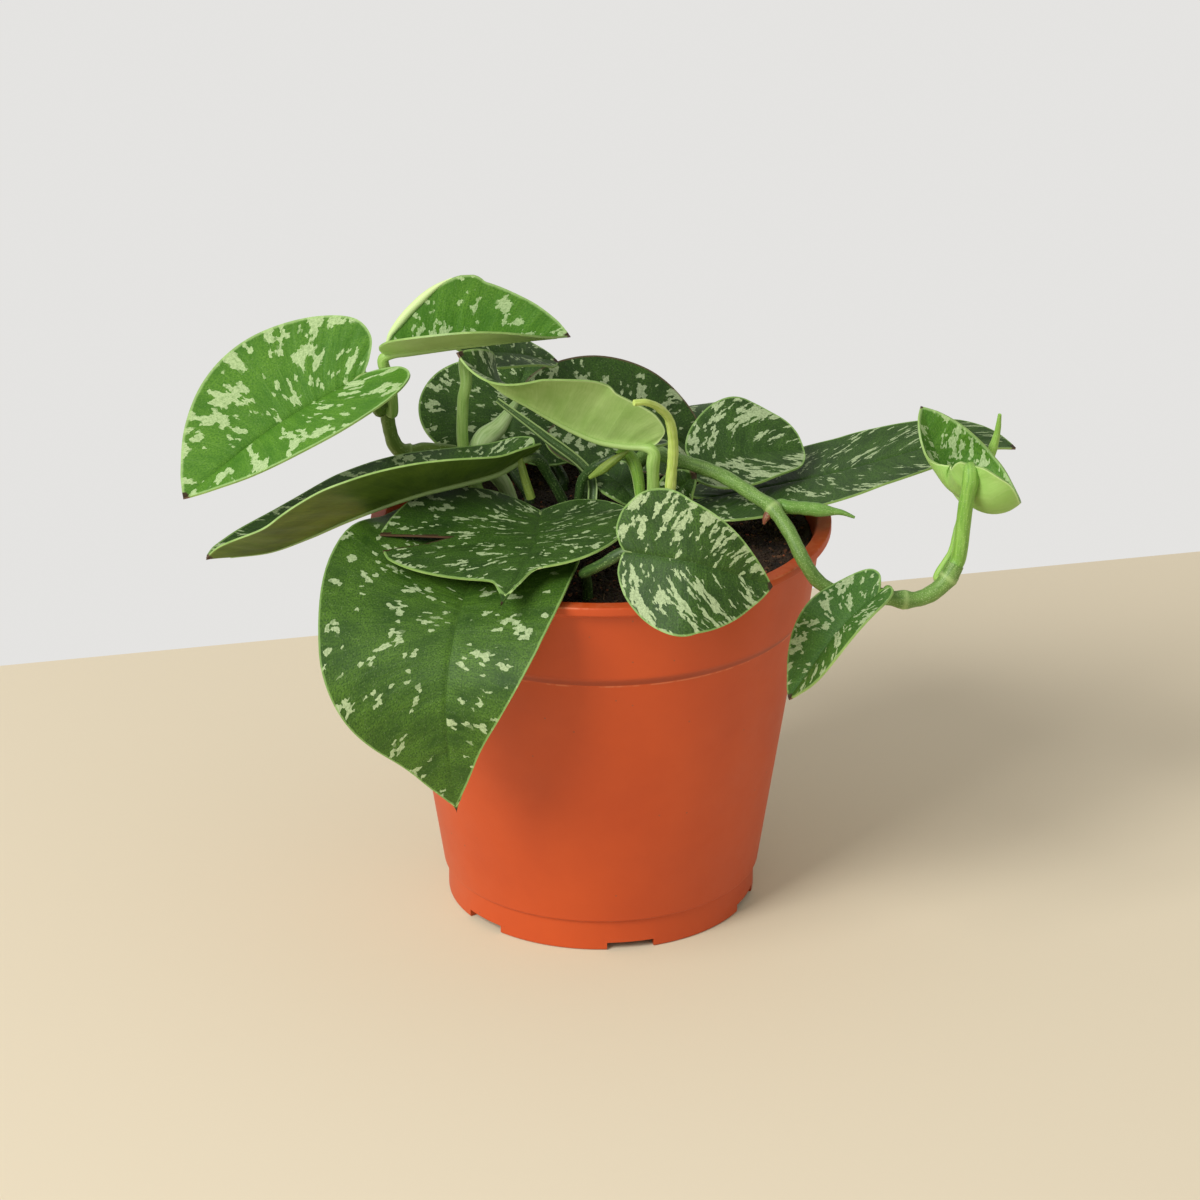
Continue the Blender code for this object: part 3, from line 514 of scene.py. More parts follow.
@dataclass(frozen=True)
class LeafLook:
    """The finish of one leaf's upper side.

    seed: picks its own draw of the pattern.
    deep, fresh: the two greens that the blade is mottled with.
    silver: colour of the splashes.
    patch, stretch, block: size of the splashes, how much longer than wide they are, and their steps.
    threshold: how rare the splashes are, about 0.5 for half of the blade and 0.6 for a few.
    rim_gain: how much more silver there is by the margin.
    middle_clear: how free of silver the midrib is.
    lean: how far the splashes lean towards the tip, away from the midrib.
    dots: share of fine silver dots between the splashes.
    rim, rim_width: colour and width of the thin line along the margin.
    vein_spacing: distance of the side veins in millimetres.
    """

    seed: float = 0.0
    deep: tuple = tint(30, 56, 16)
    fresh: tuple = tint(72, 108, 34)
    silver: tuple = tint(182, 200, 150)
    patch: float = 6.0
    stretch: float = 1.6
    block: float = 0.42
    threshold: float = 0.57
    rim_gain: float = 0.0
    middle_clear: float = 0.06
    lean: float = 0.0
    dots: float = 0.3
    rim: tuple = tint(142, 178, 98)
    rim_width: float = 0.34
    vein_spacing: float = 4.2

    def material(self, name: str) -> bpy.types.Material:
        """The material of the upper side."""
        material, wiring, shader = new_material(name + "_upper")
        vein = wiring.attribute("vein_mm").outputs["Vector"]
        rim = wiring.attribute("rim_mm").outputs["Fac"]
        brown = wiring.attribute("brown").outputs["Fac"]
        green = {"Place": vein, "First": self.deep, "Second": self.fresh, "Size": 9.0, "Contrast": 0.9}
        base = wiring.group(EFFECTS.mottle, green).outputs["Colour"]
        lines = wiring.group(EFFECTS.veins, {"Vein": vein, "Spacing": self.vein_spacing})
        drawn = wiring.node("ShaderNodeVectorMath", {0: vein, 1: (0.12, 0.8, 1.0)}, operation="MULTIPLY")
        streaks = wiring.clouds(drawn.outputs[0], 0.5, 3.0, 0.6)
        pale = wiring.ramp(streaks, 0.45, 0.72)
        base = wiring.blend(wiring.maths("MULTIPLY", pale, 0.5), base, self.fresh)
        grainy = wiring.ramp(wiring.clouds(vein, 2.4, 2.0, 0.6), 0.40, 0.66)
        base = wiring.blend(wiring.maths("MULTIPLY", grainy, 0.75), base, self.deep)
        base = wiring.blend(wiring.maths("MULTIPLY", lines.outputs["Lines"], 0.04), base, self.rim)
        dots = wiring.group(EFFECTS.specks, {"Place": vein, "Spacing": 0.38, "Size": 0.36, "Share": self.dots})
        base = wiring.blend(wiring.maths("MULTIPLY", dots.outputs["Mask"], 0.14), base, self.silver)
        values = {
            "Vein": vein,
            "Rim": rim,
            "Seed": self.seed,
            "Patch": self.patch,
            "Stretch": self.stretch,
            "Block": self.block,
            "Threshold": self.threshold,
            "Rim Gain": self.rim_gain,
            "Middle Clear": self.middle_clear,
            "Lean": self.lean,
        }
        splash = wiring.group(EFFECTS.splashes, values)
        mask = splash.outputs["Mask"]
        tone = wiring.clouds(vein, 1.3, 3.0, 0.65)
        strength = wiring.ramp(tone, 0.28, 0.58)
        strength = wiring.maths("MULTIPLY_ADD", strength, 0.30, 0.62)
        strength = wiring.maths("MULTIPLY_ADD", grainy, -0.26, strength)
        colour = wiring.blend(wiring.maths("MULTIPLY", mask, strength), base, self.silver)
        wander = wiring.clouds(vein, 0.7, 2.0)
        edge = wiring.maths("MULTIPLY_ADD", wander, -0.4, rim)
        line = wiring.ramp(edge, self.rim_width, 0.02)
        colour = wiring.blend(wiring.maths("MULTIPLY", line, 0.7), colour, self.rim)
        burnt = wiring.maths("MULTIPLY_ADD", wander, 0.8, -0.4)
        burnt = wiring.maths("ADD", brown, wiring.maths("MULTIPLY", burnt, 0.8))
        burnt = wiring.ramp(burnt, 0.35, 0.62)
        colour = wiring.blend(burnt, colour, tint(60, 46, 28))
        wiring.tree.links.new(colour, shader.inputs["Base Color"])
        gloss = wiring.maths("MULTIPLY_ADD", mask, 0.06, 0.48)
        gloss = wiring.maths("MULTIPLY_ADD", tone, 0.14, gloss)
        wiring.tree.links.new(gloss, shader.inputs["Roughness"])
        shader.inputs["Specular IOR Level"].default_value = 0.26
        grain = wiring.group(EFFECTS.grain, {"Place": wiring.places(), "Size": 0.28}).outputs["Height"]
        height = wiring.maths("MULTIPLY_ADD", splash.outputs["Height"], 0.25, grain)
        height = wiring.maths("MULTIPLY_ADD", streaks, 6.0, height)
        feed_bump(wiring, shader, height, 0.08, 0.6)
        return material


@dataclass(frozen=True)
class UndersideLook:
    """The finish of a blade's underside.

    pale, shaded: the two greens that it is mottled with.
    line: colour of the veins that show through.
    """

    pale: tuple = tint(165, 195, 110)
    shaded: tuple = tint(130, 168, 80)
    line: tuple = tint(195, 215, 145)

    def material(self, name: str) -> bpy.types.Material:
        """The material of the underside."""
        material, wiring, shader = new_material(name + "_underside")
        vein = wiring.attribute("vein_mm").outputs["Vector"]
        rim = wiring.attribute("rim_mm").outputs["Fac"]
        brown = wiring.attribute("brown").outputs["Fac"]
        green = {"Place": vein, "First": self.shaded, "Second": self.pale, "Size": 9.0, "Contrast": 0.9}
        base = wiring.group(EFFECTS.mottle, green).outputs["Colour"]
        lines = wiring.group(EFFECTS.veins, {"Vein": vein, "Spacing": 4.2})
        fine = wiring.ramp(lines.outputs["Fine"], 0.38, 0.72)
        base = wiring.blend(wiring.maths("MULTIPLY", fine, 0.35), base, self.shaded)
        base = wiring.blend(wiring.maths("MULTIPLY", lines.outputs["Lines"], 0.10), base, self.line)
        edge = wiring.ramp(rim, 0.5, 0.05)
        base = wiring.blend(wiring.maths("MULTIPLY", edge, 0.8), base, self.line)
        burnt = wiring.ramp(brown, 0.35, 0.60)
        base = wiring.blend(burnt, base, tint(64, 48, 30))
        wiring.tree.links.new(base, shader.inputs["Base Color"])
        tone = wiring.clouds(vein, 1.0, 2.0)
        wiring.tree.links.new(wiring.maths("MULTIPLY_ADD", tone, 0.16, 0.44), shader.inputs["Roughness"])
        shader.inputs["Specular IOR Level"].default_value = 0.35
        grain = wiring.group(EFFECTS.grain, {"Place": wiring.places(), "Size": 0.32}).outputs["Height"]
        height = wiring.maths("MULTIPLY_ADD", lines.outputs["Lines"], 0.15, grain)
        feed_bump(wiring, shader, height, 0.07, 0.5)
        return material


@dataclass(frozen=True)
class StemLook:
    """The finish of a stem or stalk.

    base, second: the greens that it is mottled with.
    speck: colour of its fine dots.
    specks: share of dots.
    node: colour of the rings where leaves grew.
    groove_shade: how strong the painted shade of a groove along one side of a stalk is, 0 for none.
    """

    base: tuple = tint(120, 165, 60)
    second: tuple = tint(92, 140, 48)
    speck: tuple = tint(185, 210, 140)
    specks: float = 0.35
    node: tuple = tint(170, 195, 120)
    groove_shade: float = 0.0

    def material(self, name: str) -> bpy.types.Material:
        """The material of the stem."""
        material, wiring, shader = new_material(name)
        places = wiring.places()
        around = wiring.attribute("around").outputs["Vector"]
        along = wiring.attribute("along").outputs["Fac"]
        ring = wiring.attribute("ring").outputs["Fac"]
        turn = wiring.node("ShaderNodeSeparateXYZ", {0: around})
        turned_x = wiring.maths("MULTIPLY", turn.outputs[0], 2.2)
        turned_y = wiring.maths("MULTIPLY", turn.outputs[1], 2.2)
        slow = wiring.maths("MULTIPLY", along, 0.12)
        lengthwise = wiring.node("ShaderNodeCombineXYZ", {0: turned_x, 1: turned_y, 2: slow}).outputs[0]
        streaks = wiring.clouds(lengthwise, 1.6, 3.0, 0.6)
        colour = wiring.blend(wiring.ramp(streaks, 0.35, 0.68), self.base, self.second)
        spots = {"Place": places, "Spacing": 0.36, "Size": 0.42, "Share": self.specks}
        dots = wiring.group(EFFECTS.specks, spots).outputs["Mask"]
        colour = wiring.blend(wiring.maths("MULTIPLY", dots, 0.45), colour, self.speck)
        colour = wiring.blend(wiring.maths("MULTIPLY", ring, 0.7), colour, self.node)
        # A dark line along one side of the stalk: painted shade of a groove, not a groove in the mesh.
        if self.groove_shade:
            groove = wiring.ramp(turn.outputs[0], -0.86, -0.97)
            colour = wiring.blend(wiring.maths("MULTIPLY", groove, self.groove_shade), colour, tint(70, 66, 22))
        wiring.tree.links.new(colour, shader.inputs["Base Color"])
        wiring.tree.links.new(wiring.maths("MULTIPLY_ADD", streaks, 0.2, 0.38), shader.inputs["Roughness"])
        shader.inputs["Specular IOR Level"].default_value = 0.4
        height = wiring.maths("MULTIPLY_ADD", streaks, 1.5, dots)
        feed_bump(wiring, shader, height, 0.05, 0.5)
        return material


@dataclass(frozen=True)
class RimLook:
    """The finish of the cut edge all round a blade."""

    colour: tuple = tint(160, 190, 108)
    second: tuple = tint(126, 160, 76)

    def material(self, name: str) -> bpy.types.Material:
        """The material of the edge."""
        material, wiring, shader = new_material(name + "_edge")
        brown = wiring.attribute("brown").outputs["Fac"]
        mixed = wiring.group(
            EFFECTS.mottle,
            {"Place": wiring.places(), "First": self.colour, "Second": self.second, "Size": 3.0, "Contrast": 1.0},
        ).outputs["Colour"]
        colour = wiring.blend(wiring.ramp(brown, 0.25, 0.5), mixed, tint(92, 66, 46))
        wiring.tree.links.new(colour, shader.inputs["Base Color"])
        shader.inputs["Roughness"].default_value = 0.45
        return material


@dataclass(frozen=True)
class PlasticLook:
    """The finish of the moulded pot, with painted shade on the chamfer under the rim band, pale edge lines that are
    partly scuffs of wear and partly a painted highlight, and a paler painted colour for the light that the pot bounces
    onto the floor.
    """

    colour: tuple = tint(206, 80, 22)
    worn: tuple = tint(192, 70, 18)
    scuff_and_highlight: tuple = tint(226, 140, 96)
    dust: tuple = tint(120, 84, 60)
    # Painted shade colour for the chamfer under the rim band.
    painted_band_shade: tuple = tint(132, 48, 16)
    # Painted colour that only diffuse bounce rays see.
    painted_bounce_colour: tuple = tint(176, 136, 98)

    def material(self, name: str) -> bpy.types.Material:
        """The material of the pot."""
        material, wiring, shader = new_material(name)
        places = wiring.places()
        colour = wiring.group(
            EFFECTS.mottle,
            {"Place": places, "First": self.colour, "Second": self.worn, "Size": 26.0, "Contrast": 0.8},
        ).outputs["Colour"]
        height = wiring.node("ShaderNodeSeparateXYZ", {0: places}).outputs[2]
        ragged = wiring.clouds(places, 0.16, 4.0, 0.65)
        keep = wiring.ramp(ragged, 0.47, 0.60)
        # Pale broken lines along three edges. At the foot ring's top and at the lip they are scuffs of wear; the line
        # just under the rim band's step is also a painted highlight.
        lines = None
        for edge in (FOOT_RING_HEIGHT - 0.2, BAND_FOOT_Z - 0.8, POT_HEIGHT - 0.2):
            off = wiring.maths("ABSOLUTE", wiring.maths("SUBTRACT", height, edge))
            line = wiring.ramp(off, 0.30, 0.05)
            lines = line if lines is None else wiring.maths("MAXIMUM", lines, line)
        # Painted shade: the colour darkens over the chamfer under the rim band's step, where shadow falls.
        under_band = wiring.maths("SUBTRACT", height, BAND_FOOT_Z)
        low = wiring.ramp(under_band, 2.4, 0.2)
        above = wiring.ramp(under_band, -0.7, -0.3)
        shade = wiring.maths("MULTIPLY", wiring.maths("MULTIPLY", low, above), 0.62)
        colour = wiring.blend(shade, colour, self.painted_band_shade)
        scuff_and_highlight_mask = wiring.maths("MULTIPLY", lines, keep)
        colour = wiring.blend(wiring.maths("MULTIPLY", scuff_and_highlight_mask, 0.45), colour, self.scuff_and_highlight)
        spots = wiring.group(
            EFFECTS.specks, {"Place": places, "Spacing": 3.2, "Size": 0.09, "Share": 0.25}
        ).outputs["Mask"]
        colour = wiring.blend(wiring.maths("MULTIPLY", spots, 0.5), colour, self.dust)
        # Painted bounce light: diffuse bounce rays see a paler, less orange pot than the camera does, which changes the
        # light that the pot throws onto the floor.
        onto_floor = wiring.node("ShaderNodeLightPath").outputs["Is Diffuse Ray"]
        colour = wiring.blend(wiring.maths("MULTIPLY", onto_floor, 0.8), colour, self.painted_bounce_colour)
        wiring.tree.links.new(colour, shader.inputs["Base Color"])
        tone = wiring.clouds(places, 0.09, 5.0, 0.6)
        wiring.tree.links.new(wiring.maths("MULTIPLY_ADD", tone, 0.22, 0.40), shader.inputs["Roughness"])
        grain = wiring.group(EFFECTS.grain, {"Place": places, "Size": 0.6}).outputs["Height"]
        feed_bump(wiring, shader, grain, 0.05, 0.45)
        return material


@dataclass(frozen=True)
class EarthLook:
    """The finish of soil and of the bits that lie on it.

    dark, light: the two browns that it is mottled with.
    bit: colour of its few bright grains.
    """

    dark: tuple = tint(30, 21, 14)
    light: tuple = tint(62, 44, 28)
    bit: tuple = tint(134, 80, 46)

    def material(self, name: str) -> bpy.types.Material:
        """The material."""
        material, wiring, shader = new_material(name)
        places = wiring.places()
        colour = wiring.group(
            EFFECTS.mottle,
            {"Place": places, "First": self.dark, "Second": self.light, "Size": 3.5, "Contrast": 1.4},
        ).outputs["Colour"]
        grains = wiring.group(
            EFFECTS.specks, {"Place": places, "Spacing": 1.4, "Size": 0.36, "Share": 0.22}
        ).outputs["Mask"]
        colour = wiring.blend(wiring.maths("MULTIPLY", grains, 0.6), colour, self.bit)
        wiring.tree.links.new(colour, shader.inputs["Base Color"])
        shader.inputs["Roughness"].default_value = 0.92
        grain = wiring.group(EFFECTS.grain, {"Place": places, "Size": 0.5}).outputs["Height"]
        feed_bump(wiring, shader, grain, 0.4, 0.9)
        return material


def grid_faces(rows: int, cols: int, closed: bool = False) -> list[tuple[int, int, int, int]]:
    """Faces of a grid of points, numbered row by row, whose normals look up when rows run ahead and columns right.

    Args:
        rows: Number of steps along.
        cols: Number of steps across.
        closed: Whether the last column joins the first.

    Returns:
        Four point numbers a face.
    """
    wide = cols if closed else cols + 1
    faces = []
    for row in range(rows):
        for col in range(cols):
            following = (col + 1) % wide
            near, far = row * wide, (row + 1) * wide
            faces.append((near + col, near + following, far + following, far + col))
    return faces


def set_floats(mesh: bpy.types.Mesh, name: str, values: np.ndarray) -> None:
    """Keep one number, or one vector, a vertex as an attribute of the mesh."""
    kind, field = ("FLOAT_VECTOR", "vector") if np.ndim(values) == 2 else ("FLOAT", "value")
    attribute = mesh.attributes.new(name, kind, "POINT")
    attribute.data.foreach_set(field, np.asarray(values, np.float32).ravel())


def place_in_scene(name: str, mesh: bpy.types.Mesh) -> bpy.types.Object:
    """An object at the origin for the mesh."""
    piece = bpy.data.objects.new(name, mesh)
    bpy.context.scene.collection.objects.link(piece)
    return piece


def apply_modifiers(piece: bpy.types.Object) -> None:
    """Put the piece's modifiers into its mesh."""
    graph = bpy.context.evaluated_depsgraph_get()
    mesh = bpy.data.meshes.new_from_object(piece.evaluated_get(graph), depsgraph=graph)
    old = piece.data
    piece.modifiers.clear()
    piece.data = mesh
    bpy.data.meshes.remove(old)


def run_tree(piece: bpy.types.Object, tree: bpy.types.NodeTree, values: dict) -> None:
    """Run a Geometry Nodes tree on a piece and keep its result as the piece's plain mesh.

    Args:
        piece: The object whose mesh the tree reads.
        tree: The tree.
        values: What its inputs take, by name.
    """
    modifier = piece.modifiers.new(tree.name, "NODES")
    modifier.node_group = tree
    for socket in tree.interface.items_tree:
        if socket.item_type == "SOCKET" and socket.in_out == "INPUT" and socket.name in values:
            modifier[socket.identifier] = values[socket.name]
    apply_modifiers(piece)


def join(piece: bpy.types.Object, others: list[bpy.types.Object]) -> None:
    """Join other objects into the piece, with their materials."""
    with bpy.context.temp_override(active_object=piece, selected_editable_objects=[piece, *others]):
        bpy.ops.object.join()


def declare(piece: bpy.types.Object, node: str) -> None:
    """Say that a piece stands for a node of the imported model, and keep it inside the model's box.

    Args:
        piece: The finished piece.
        node: The node that it stands for.
    """
    places = np.empty(3 * len(piece.data.vertices), np.float32)
    piece.data.vertices.foreach_get("co", places)
    inside = np.clip(places.reshape(-1, 3), *np.array(CAD_BOX))
    piece.data.vertices.foreach_set("co", inside.ravel())
    piece.data.update()
    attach(piece, BODY)
    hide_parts(node)
    LOG.info("%s stands for %s: %d faces", piece.name, node, len(piece.data.polygons))


class Shapes:
    """Geometry Nodes trees that more than one piece uses, each built once."""

    def __init__(self) -> None:
        """Build the trees."""
        self.sweep = self.build_sweep()
        self.scatter = self.build_scatter()

    def build_sweep(self) -> bpy.types.NodeTree:
        """A round tube along a line of points, whose radius at each point is the mesh's own attribute."""
        inputs = {
            "Line": ("NodeSocketGeometry", None),
            "Sides": ("NodeSocketInt", 12),
            "Material": ("NodeSocketMaterial", None),
        }
        wiring, given, end = new_group("tube_along_line", "GeometryNodeTree", inputs, {"Tube": "NodeSocketGeometry"})
        curve = wiring.node("GeometryNodeMeshToCurve", {0: given["Line"]})
        length = wiring.node("GeometryNodeSplineParameter").outputs["Length"]
        length_mm = wiring.maths("DIVIDE", length, MM)
        marked = wiring.node(
            "GeometryNodeStoreNamedAttribute",
            {"Geometry": curve.outputs[0], "Name": "along", "Value": length_mm},
            domain="POINT",
        )
        circle = wiring.node("GeometryNodeCurvePrimitiveCircle", {"Resolution": given["Sides"], "Radius": MM})
        spot = wiring.node("GeometryNodeInputPosition").outputs[0]
        turned = wiring.node("ShaderNodeVectorMath", {0: spot, 3: 1 / MM}, operation="SCALE")
        ring = wiring.node(
            "GeometryNodeStoreNamedAttribute",
            {"Geometry": circle.outputs[0], "Name": "around"},
            domain="POINT",
            data_type="FLOAT_VECTOR",
        )
        wiring.tree.links.new(turned.outputs[0], ring.inputs["Value"])
        radius = wiring.node("GeometryNodeInputNamedAttribute", {"Name": "radius"}, data_type="FLOAT")
        values = {
            "Curve": marked.outputs[0],
            "Profile Curve": ring.outputs[0],
            "Scale": radius.outputs[0],
            "Fill Caps": True,
        }
        tube = wiring.node("GeometryNodeCurveToMesh", values)
        smooth = wiring.node("GeometryNodeSetShadeSmooth", {0: tube.outputs[0]})
        whole = wiring.node("GeometryNodeRealizeInstances", {0: smooth.outputs[0]})
        values = {"Geometry": whole.outputs[0], "Material": given["Material"]}
        dressed = wiring.node("GeometryNodeSetMaterial", values)
        wiring.tree.links.new(dressed.outputs[0], end.inputs["Tube"])
        return wiring.tree

    def build_scatter(self) -> bpy.types.NodeTree:
        """Lumps scattered over a surface: low spheres, squeezed and turned by seeded draws."""
        inputs = {
            "Ground": ("NodeSocketGeometry", None),
            "Spacing": (FLOAT, 1.0),
            "Density": (FLOAT, 100000.0),
            "Least": (VECTOR, None),
            "Most": (VECTOR, None),
            "Seed": ("NodeSocketInt", SEED),
            "Material": ("NodeSocketMaterial", None),
        }
        wiring, given, end = new_group("scattered_bits", "GeometryNodeTree", inputs, {"Bits": "NodeSocketGeometry"})
        spots = wiring.node(
            "GeometryNodeDistributePointsOnFaces",
            {
                "Mesh": given["Ground"],
                "Distance Min": given["Spacing"],
                "Density Max": given["Density"],
                "Seed": given["Seed"],
            },
            distribute_method="POISSON",
        )
        lump = wiring.node("GeometryNodeMeshIcoSphere", {"Radius": MM, "Subdivisions": 1})
        size = wiring.node("FunctionNodeRandomValue", {"Seed": given["Seed"]}, data_type="FLOAT_VECTOR")
        wiring.tree.links.new(given["Least"], size.inputs[0])
        wiring.tree.links.new(given["Most"], size.inputs[1])
        turn = wiring.node("FunctionNodeRandomValue", {"Seed": 3}, data_type="FLOAT_VECTOR")
        turn.inputs[1].default_value = (0.7, 0.7, 2 * math.pi)
        values = {
            "Points": spots.outputs["Points"],
            "Instance": lump.outputs["Mesh"],
            "Rotation": turn.outputs[0],
            "Scale": size.outputs[0],
        }
        bits = wiring.node("GeometryNodeInstanceOnPoints", values)
        whole = wiring.node("GeometryNodeRealizeInstances", {0: bits.outputs[0]})
        values = {"Geometry": whole.outputs[0], "Material": given["Material"]}
        dressed = wiring.node("GeometryNodeSetMaterial", values)
        wiring.tree.links.new(dressed.outputs[0], end.inputs["Bits"])
        return wiring.tree


SHAPES = Shapes()


def swept(
    name: str, middle: np.ndarray, radii: np.ndarray, material: bpy.types.Material, sides: int = 14, ring=None
) -> bpy.types.Object:
    """A round tube along a route.

    Args:
        name: The object's name.
        middle: Points along the route, in millimetres.
        radii: The radius at each point.
        material: The tube's material.
        sides: How many sides it has.
        ring: For each point, how much it is part of a ring where a leaf grew, or None.

    Returns:
        The tube as a plain mesh object.
    """
    mesh = bpy.data.meshes.new(name)
    mesh.from_pydata(middle * MM, [(step, step + 1) for step in range(len(middle) - 1)], [])
    set_floats(mesh, "radius", radii)
    set_floats(mesh, "ring", np.zeros(len(middle)) if ring is None else ring)
    piece = place_in_scene(name, mesh)
    run_tree(piece, SHAPES.sweep, {"Sides": sides, "Material": material})
    piece.data.name = name
    return piece


@dataclass
class Leaf:
    """A leaf, described from its stalk joint to its tip.

    midrib: points that the blade's midline passes through, joint first.
    face: where the upper side faces, in even steps from the joint to the tip.
    half: greatest half-widths, left and right, seen from above with the tip ahead.
    fold: degrees that each half rises from the midrib, in even steps from the joint to the tip.
    curl: further degrees that each half bends by its margin.
    lobe: how far each lobe reaches back past the joint, as a multiple of the usual reach.
    broad: shift of each half's widest place towards the tip, as a share of the length.
    wave: height and count of the margin's waves, and where they start.
    drip: how far the margins draw in before the tip, below 0 for a blunt tip.
    rolled: a stretch of margin that is rolled up: its half (0 left, 1 right), the shares of the rows
        where it starts and ends, and its radius.
    tear: corners of the wedge that is torn out of the blade, seen from above, inner end first.
    browned: reach of the brown at the tip in millimetres, 0 for a green tip.
    stalk: the stalk's route after the joint, ending at its root.
    seat: the stem that carries the stalk, where it doesn't stand in the soil.
    """

    name: str
    midrib: tuple
    face: tuple
    half: tuple
    fold: tuple = ((12.0, 12.0),)
    curl: tuple = (0.0, 0.0)
    lobe: tuple = (1.0, 1.0)
    broad: tuple = (0.0, 0.0)
    wave: tuple = (0.6, 2.0, 0.0)
    drip: float = 0.0
    rolled: tuple = ()
    tear: tuple = ()
    browned: float = 1.6
    stalk: tuple = ()
    stalk_radius: float = STALK_RADIUS
    seat: str = ""

    def frame_at(self, share: np.ndarray) -> tuple[np.ndarray, np.ndarray, np.ndarray]:
        """The midline's point, its tangent and the upper side's normal at each share of the midrib."""
        spine = resampled(self.midrib, SPINE_STEPS)
        tangent = unit(along_rows(unit(np.gradient(spine, axis=0)), share))
        face = along_rows(unit(self.face), share)
        normal = unit(face - (face * tangent).sum(-1, keepdims=True) * tangent)
        return along_rows(spine, share), tangent, normal

    def sheet(self, rows: int, column: np.ndarray) -> np.ndarray:
        """The middle sheet of the blade, as a grid of points from the joint (row 0) to the tip.

        Args:
            rows: Number of steps from the joint to the tip. Rows run along the side veins.
            column: Places across, from -1 at the left margin over 0 at the midrib to 1.

        Returns:
            Points in millimetres, row by row.
        """
        spine = resampled(self.midrib, SPINE_STEPS)
        length = np.linalg.norm(np.diff(spine, axis=0), axis=1).sum()
        share = np.linspace(0, 1, rows + 1)[:, None]
        column = column[None, :]
        reach = np.abs(column)
        left = column < 0

        outline = resampled(HALF_OUTLINE, rows)
        lobe = np.where(left, self.lobe[0], self.lobe[1])
        broad = np.where(left, self.broad[0], self.broad[1])
        margin = outline[:, 1:] + (1 - lobe) * LOBE_REACH * np.sin(math.pi * np.clip(share / LOBE_SPAN, 0, 1))
        drawn_in = self.drip * np.exp(-(((share - DRIP_PLACE) / DRIP_SPREAD) ** 2))
        margin = margin + broad * np.sin(math.pi * share) - DRIP_PULL * drawn_in
        start = share**VEIN_CROWDING
        forward = start + (margin - start) * reach**VEIN_SWEEP
        half = np.where(left, self.half[0], self.half[1])
        sideways = outline[:, :1] * reach * half * (1 - drawn_in)

        ahead = np.clip(forward, 0, 1)
        centre, tangent, normal = self.frame_at(ahead)
        centre = centre + (forward - ahead)[..., None] * length * tangent
        side = np.cross(tangent, normal)

        folds = along_rows(self.fold, ahead)
        fold = np.radians(np.where(left, folds[..., 0], folds[..., 1]))
        curl = np.radians(np.where(left, self.curl[0], self.curl[1]))
        bend = np.where(np.abs(curl) < 1e-3, 1e-3, curl) / half
        across = (np.sin(fold + bend * sideways) - np.sin(fold)) / bend
        raised = (np.cos(fold) - np.cos(fold + bend * sideways)) / bend
        height, count, phase = self.wave
        ripple = height * np.sin(2 * math.pi * (count * share + phase + 0.3 * left)) * reach**2
        ripple = ripple * np.sin(math.pi * share)

        lateral = np.where(left, -across, across)
        relief = self.relief(share, column, sideways)
        return centre + lateral[..., None] * side + (raised + ripple + relief)[..., None] * normal

    def relief(self, share: np.ndarray, column: np.ndarray, sideways: np.ndarray) -> np.ndarray:
        """Height of the blade's fine relief: a groove at the midrib, side veins and soft pillows between them."""
        reach = np.abs(column)
        count = max(5, round(self.length() / 5.5))
        wave = 0.5 + 0.5 * np.cos(2 * math.pi * count * share)
        inner = smooth_step(0.0, 0.15, reach) * (1 - smooth_step(0.75, 0.98, reach))
        veins = -VEIN_DEPTH * wave**6 * inner
        pillows = PILLOW_HEIGHT * (1 - wave) * inner
        fade = smooth_step(0.0, 0.06, share) * (1 - smooth_step(0.85, 0.98, share))
        groove = -MIDRIB_GROOVE * np.exp(-((sideways / 0.55) ** 2)) * fade
        return veins + pillows * fade + groove

    def length(self) -> float:
        """The midrib's length."""
        spine = resampled(self.midrib, SPINE_STEPS)
        return float(np.linalg.norm(np.diff(spine, axis=0), axis=1).sum())

    def build_blade(self, look: LeafLook, under: UndersideLook) -> bpy.types.Object:
        """The blade with its markings' attributes and three materials: upper side, underside and edge."""
        even = np.linspace(-1, 1, 2 * BLADE_COLS + 1)
        column = even - COLUMN_CROWDING * np.sin(2 * math.pi * even)
        points = self.sheet(BLADE_ROWS, column)
        mesh = bpy.data.meshes.new(PIECE_PREFIX + self.name)
        mesh.from_pydata(points.reshape(-1, 3) * MM, [], grid_faces(BLADE_ROWS, 2 * BLADE_COLS))
        self.mark(mesh, points)
        work = bmesh.new()
        work.from_mesh(mesh)
        bmesh.ops.remove_doubles(work, verts=work.verts, dist=MERGE)
        if self.tear:
            self.cut_tear(work)
        work.to_mesh(mesh)
        work.free()
        mesh.shade_smooth()
        for material in (look.material(self.name), under.material(self.name), RimLook().material(self.name)):
            mesh.materials.append(material)
        blade = place_in_scene(PIECE_PREFIX + self.name, mesh)
        wall = blade.modifiers.new("thickness", "SOLIDIFY")
        wall.thickness = BLADE_THICKNESS * MM
        wall.offset = 0.0
        wall.use_quality_normals = True
        wall.material_offset = 1
        wall.material_offset_rim = 2
        apply_modifiers(blade)
        blade.data.set_sharp_from_angle(angle=math.radians(55))
        return blade

